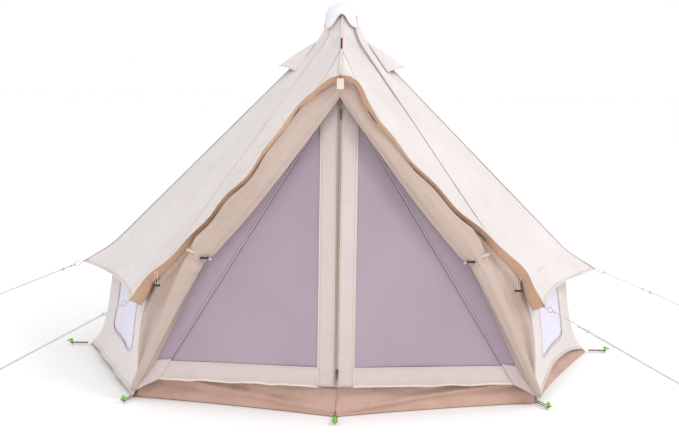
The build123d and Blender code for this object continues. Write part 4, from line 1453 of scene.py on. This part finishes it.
    def flap(self, word: str) -> None:
        """The outer door, rolled to the side: gathered at its tie, then hanging to the peg."""
        run = self.points(
            (-0.012, -1.205, 1.612), (0.110, -1.208, 1.480), (0.235, -1.206, 1.340),
            (0.355, -1.202, 1.190), (0.470, -1.198, 1.040), (0.598, -1.195, 0.880),
            (0.700, -1.192, 0.748), (0.762, -1.190, 0.620), (0.820, -1.188, 0.500),
            (0.888, -1.185, 0.350), (0.955, -1.178, 0.205), (1.026, -1.155, 0.058),
        )
        count = 110
        v = np.linspace(0, 1, count)
        path = along(run, v, 0.09)
        tie = float(np.interp(0.748, path[::-1, 2], v[::-1]))
        pinch = np.exp(-((v - tie) / 0.020) ** 2)
        above = 0.030 + 0.046 * np.sin(np.clip(v / tie, 0, 1) ** 0.8 * math.pi * 0.80)
        below = 0.012 + 0.034 * np.clip((1 - v) / (1 - tie), 0, 1) ** 0.8
        wide = np.where(v < tie, above, below)
        soft = np.pad(wide, 4, mode="edge")
        wide = np.convolve(soft, np.full(9, 1 / 9), mode="valid") * (1 - 0.22 * pinch)
        side = -self.inward(path)
        edge = along(self.hem, np.linspace(0, 1, 240))
        room = np.linalg.norm((path[:, None] - edge[None])[..., [0, 2]], axis=-1).min(axis=1) - 0.026
        room = np.where(v < tie, np.clip(room, 0.008, wide), wide)
        path = path - side * ((wide - room) / 2)[:, None]
        wide = (wide + room) / 2
        deep = np.minimum(wide, 0.040) * 0.62 * (1 - 0.2 * pinch)
        forward = unit(np.gradient(path, axis=0))
        over = unit(np.cross(side, forward)) * self.side.value
        over = over * np.sign(over[:, 1:2]) * -1
        turn = np.linspace(0, math.tau, 97)
        folds = (
            1 + 0.06 * np.sin(4 * turn[None] + 3 * v[:, None])
            + 0.04 * np.sin(7 * turn[None] - 5 * v[:, None] + 1)
            + 0.10 * pinch[:, None] * np.sin(13 * turn[None])
        )
        grid = (
            path[:, None]
            + side[:, None] * (wide[:, None] * np.cos(turn)[None] * folds)[..., None]
            + over[:, None] * (deep[:, None] * np.sin(turn)[None] * folds)[..., None]
        )
        # Painted shade: the flap takes the darkened flap canvas.
        cloth = Cloth(f"flap_{word}", CANVAS_FLAP_PAINTED_SHADE, CANVAS_INSIDE_PAINTED_LIGHT)
        quarter = grid[grid.shape[0] // 2, grid.shape[1] // 2] - path[count // 2]
        cloth.add(grid, quarter)
        made = cloth.build((f"door_flap_{word}",), merge=0.3 * MM)
        cloth.declare(made)
        at = int(tie * count)
        self.tie(word, path[at], side[at] * wide[at], over[at] * deep[at])

    def tie(self, word: str, middle: np.ndarray, across: np.ndarray, over: np.ndarray) -> None:
        """The cord loop that gathers the flap, round a middle and with two half-widths as vectors."""
        turn = np.linspace(0, math.tau, 49)[:, None]
        ring = middle + across * 1.12 * np.cos(turn) + over * 1.15 * np.sin(turn)
        made = join(f"flap_tie_{word}", [tube_mesh("tie", ring, 2 * MM, 2 * MM, rings=10)], LOOP_CORD)
        place(made, "tent")


# ---------------------------------------------------------------- groundsheet
@dataclass
class Groundsheet:
    """The brown sheet: a flat floor with upright edges, creased along the porch."""

    side_height: float = 0.088
    porch_height: float = 0.140

    def build(self) -> None:
        """Make the floor and the edges as one sheet."""
        cloth = Cloth("groundsheet_cloth", GROUNDSHEET, GROUNDSHEET, thickness=1.2 * MM)
        for index in range(8):
            self.edge(cloth, index)
            self.floor(cloth, index)
        made = cloth.build(("groundsheet_floor", "groundsheet_sides"))
        area = cloth.declare(made)
        LOG.info("groundsheet_cloth: %.2f square metres", area)

    def line(self, index: int, cols: int) -> np.ndarray:
        """The foot of one edge, pulled out a little at its corners."""
        a, b = SHAPE.ground_corner(index), SHAPE.ground_corner(index + 1)
        u = np.linspace(0, 1, cols)[:, None]
        way = SHAPE.outward(index)
        return a * (1 - u) + b * u - way * 0.018 * (4 * u * (1 - u))

    def edge(self, cloth: Cloth, index: int) -> None:
        """One upright edge with sagging creases."""
        cols, rows = 70, 14
        foot = self.line(index, cols) * 0.994 + UP * 0.004
        porch = index in (0, 7)
        tall = self.porch_height if porch else self.side_height
        v = np.linspace(0, 1, rows)[:, None]
        u = np.linspace(0, 1, cols)[None]
        way = SHAPE.outward(index)
        bow = 4 * u * (1 - u)
        lean = 0.02 if porch else 0.085 + 0.025 * (1 - bow)
        flat_u = u * 1.1
        crease = Ripples(index + 60, 0.35, lean=(1.0, 2.4)).height(flat_u, v * tall) * 0.006
        if porch:
            near = u if index == 7 else 1 - u
            fold = v - 0.80 + 0.75 * near
            crease = crease + 0.016 * np.exp(-((fold - 0.10) / 0.10) ** 2)
            crease = crease - 0.010 * np.exp(-((fold + 0.12) / 0.10) ** 2)
        droop = np.sin(u * 23 + index) * 0.004 * v ** 2
        grid = foot[None] + UP * (v * tall + droop)[..., None] - way * (v * lean)[..., None]
        grid = grid + way * (crease * np.sin(math.pi * v) ** 0.6 * (1.2 if porch else 1.2 * bow))[..., None]
        cloth.add(grid, way)

    def floor(self, cloth: Cloth, index: int) -> None:
        """One eighth of the floor, from the pole to an edge."""
        cols, rows = 70, 16
        foot = self.line(index, cols) * 0.994 + UP * 0.004
        v = np.linspace(0.02, 1, rows)[:, None, None]
        grid = foot[None] * v
        waves = np.sin(grid[..., 0] * 9) * np.sin(grid[..., 1] * 11)
        grid[..., 2] = 0.004 + 0.0015 * waves * (1 - v[..., 0] ** 6)
        grid[-1] = foot
        cloth.add(grid, UP)


# ---------------------------------------------------------------- guys, pegs and trim
@dataclass
class Guy:
    """One guy rope: from its eave ring to its peg, round it, and back up to its end knot."""

    name: str
    side: int
    corner: int
    angle: float
    runner: float
    reach: float = 1.170
    rope: float = 0.005
    ring_radius: float = 1.562
    ring_height: float = 0.497
    peg_height: float = 0.013
    turn: float = 0.0064

    def route(self) -> np.ndarray:
        """The rope's control points."""
        mirror = np.array([self.side, 1, 1])
        ring = SHAPE.corner(self.corner, self.ring_radius, self.ring_height) * mirror
        peg = ring + SHAPE.compass(self.angle, self.reach, 0) * mirror
        peg[2] = self.peg_height
        way = unit(peg - ring)
        across = unit(np.array([-way[1], way[0], 0.0]))
        start = ring + way * 0.022
        far = peg + way * self.turn
        near = far - way * 0.030
        end = start + way * (self.runner - 0.045 - 0.022)
        shift = across * self.turn
        return np.array([start + shift, near + shift, far + shift, far - shift, near - shift, end - shift])

    def build(self) -> None:
        points = self.route()
        curve = bpy.data.curves.new(f"rope_{self.name}", "CURVE")
        curve.dimensions, curve.bevel_depth, curve.bevel_resolution = "3D", self.rope / 2, 3
        curve.resolution_u, curve.use_fill_caps = 16, True
        spline = curve.splines.new("NURBS")
        spline.points.add(len(points) - 1)
        for slot, p in zip(spline.points, points):
            slot.co = (*map(float, p), 1.0)
        spline.order_u, spline.use_endpoint_u = 3, True
        made = bpy.data.objects.new(f"rope_{self.name}", curve)
        bpy.context.scene.collection.objects.link(made)
        curve.materials.append(ROPE.material())
        place(made, "tent", (f"guy_rope_{self.name}",))


@dataclass
class Hardware:
    """Finishes for the CAD parts that stay as they are."""

    finishes: tuple[tuple[str, Finish], ...] = (
        ("centre_pole_foot", POLE_RUBBER), ("centre_pole_cap", POLE_RUBBER), ("door_pole_feet", POLE_RUBBER),
        ("centre_pole", POLE_STEEL), ("door_pole", POLE_STEEL), ("ground_pegs", PEG_STEEL),
        ("eave_rings", PEG_STEEL), ("peg_heads", PEG_PLASTIC), ("peg_loops", WEBBING),
        ("guy_runner", RUNNER_PLASTIC), ("guy_knots", ROPE), ("tie_toggles", TOGGLE_PLASTIC),
        ("hanging_toggle", TOGGLE_PLASTIC), ("toggle_loop", LOOP_CORD), ("ridge_tab", RED_TAPE),
        ("awning_tab", CREAM_TAPE), ("eave_tabs", CREAM_TAPE), ("flap_ties", LOOP_CORD),
        ("zip_slider", ZIP_METAL), ("zip_chain", ZIP_TEETH),
    )

    def build(self) -> None:
        """Give each shown CAD node its own finish."""
        dressed = 0
        for name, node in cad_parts.items():
            finish = next((f for start, f in self.finishes if name.startswith(start)), None)
            if finish is None:
                continue
            node.data.materials.clear()
            node.data.materials.append(finish.material())
            dressed += 1
        LOG.info("hardware: %d CAD nodes dressed", dressed)


# ---------------------------------------------------------------- studio
@dataclass
class Studio:
    """A pale floor, soft light and the camera."""

    distance: float = 6.863
    eye: float = 1.701
    lens: float = 61.8
    pitch: float = 7.46
    roll: float = 0.81
    yaw: float = 0.35
    shift_x: float = 0.041

    def build(self) -> None:
        """Set up the floor, the lights and the camera."""
        self.floor()
        self.lights()
        self.camera()

    def floor(self) -> None:
        """A wide white sweep under the tent."""
        span = 60.0
        verts = np.array([(-span, -span, 0), (span, -span, 0), (span, span, 0), (-span, span, 0)])
        made = mesh_object("ground", verts, [(0, 1, 2, 3)])
        paint = Finish("studio_floor", "FFFFFF", 1.0).material()
        made.data.materials.append(paint)

    def lights(self) -> None:
        """An even white sky, a large soft key from the upper right and a weak fill from the left."""
        world = bpy.data.worlds.new("studio")
        bpy.context.scene.world = world
        world.use_nodes = True
        sky = world.node_tree.nodes["Background"]
        sky.inputs["Color"].default_value = (1, 1, 1, 1)
        sky.inputs["Strength"].default_value = 1.0
        for name, spot, aim, size, power in (
            ("key", (6.0, -4.5, 6.5), (0, 0, 0.8), 2.5, 230.0),
            ("fill", (-5.0, -6.0, 2.0), (0, 0, 0.8), 4.0, 45.0),
        ):
            light = bpy.data.lights.new(name, "AREA")
            light.size, light.energy = size, power
            lamp = bpy.data.objects.new(name, light)
            bpy.context.scene.collection.objects.link(lamp)
            way = unit(np.array(aim) - np.array(spot))
            lamp.matrix_world = Matrix.Translation(spot) @ looking(way)
        bpy.context.scene.view_settings.view_transform = "Standard"

    def camera(self) -> None:
        """Place the camera in front of the doors, looking slightly down."""
        lens = bpy.data.cameras.new("camera")
        lens.lens, lens.sensor_width = self.lens, 36.0
        eye = bpy.data.objects.new("camera", lens)
        bpy.context.scene.collection.objects.link(eye)
        turn = (
            Matrix.Rotation(math.radians(self.yaw), 4, "Z")
            @ Matrix.Rotation(math.pi / 2 - math.radians(self.pitch), 4, "X")
            @ Matrix.Rotation(math.radians(self.roll), 4, "Z")
        )
        eye.matrix_world = Matrix.Translation((self.shift_x, -self.distance, self.eye)) @ turn
        bpy.context.scene.camera = eye


def looking(way: np.ndarray) -> Matrix:
    """A rotation whose -Z axis points the given way."""
    z = -way
    x = unit(np.cross(UP, z))
    y = np.cross(z, x)
    return Matrix(((x[0], y[0], z[0]), (x[1], y[1], z[1]), (x[2], y[2], z[2]))).to_4x4()


GUYS = (
    Guy("left", -1, 2, 90.0, 0.090),
    Guy("right", 1, 2, 90.0, 0.320),
    Guy("front_left", -1, 1, 58.0, 0.110),
    Guy("front_right", 1, 1, 58.0, 0.210),
)


def main() -> None:
    """Build every piece in order."""
    Studio().build()
    for guy in GUYS:
        guy.build()
    roof = Roof()
    roof.build()
    Vents().build()
    ApexCap().build()
    Walls().build()
    for side in Side:
        Door(side).build()
        Surround(side, roof.awning_hems[side.value]).build()
    Groundsheet().build()
    Hardware().build()


if __name__ == "__main__":
    logging.basicConfig(level=logging.INFO, format="%(name)s %(message)s")
    main()
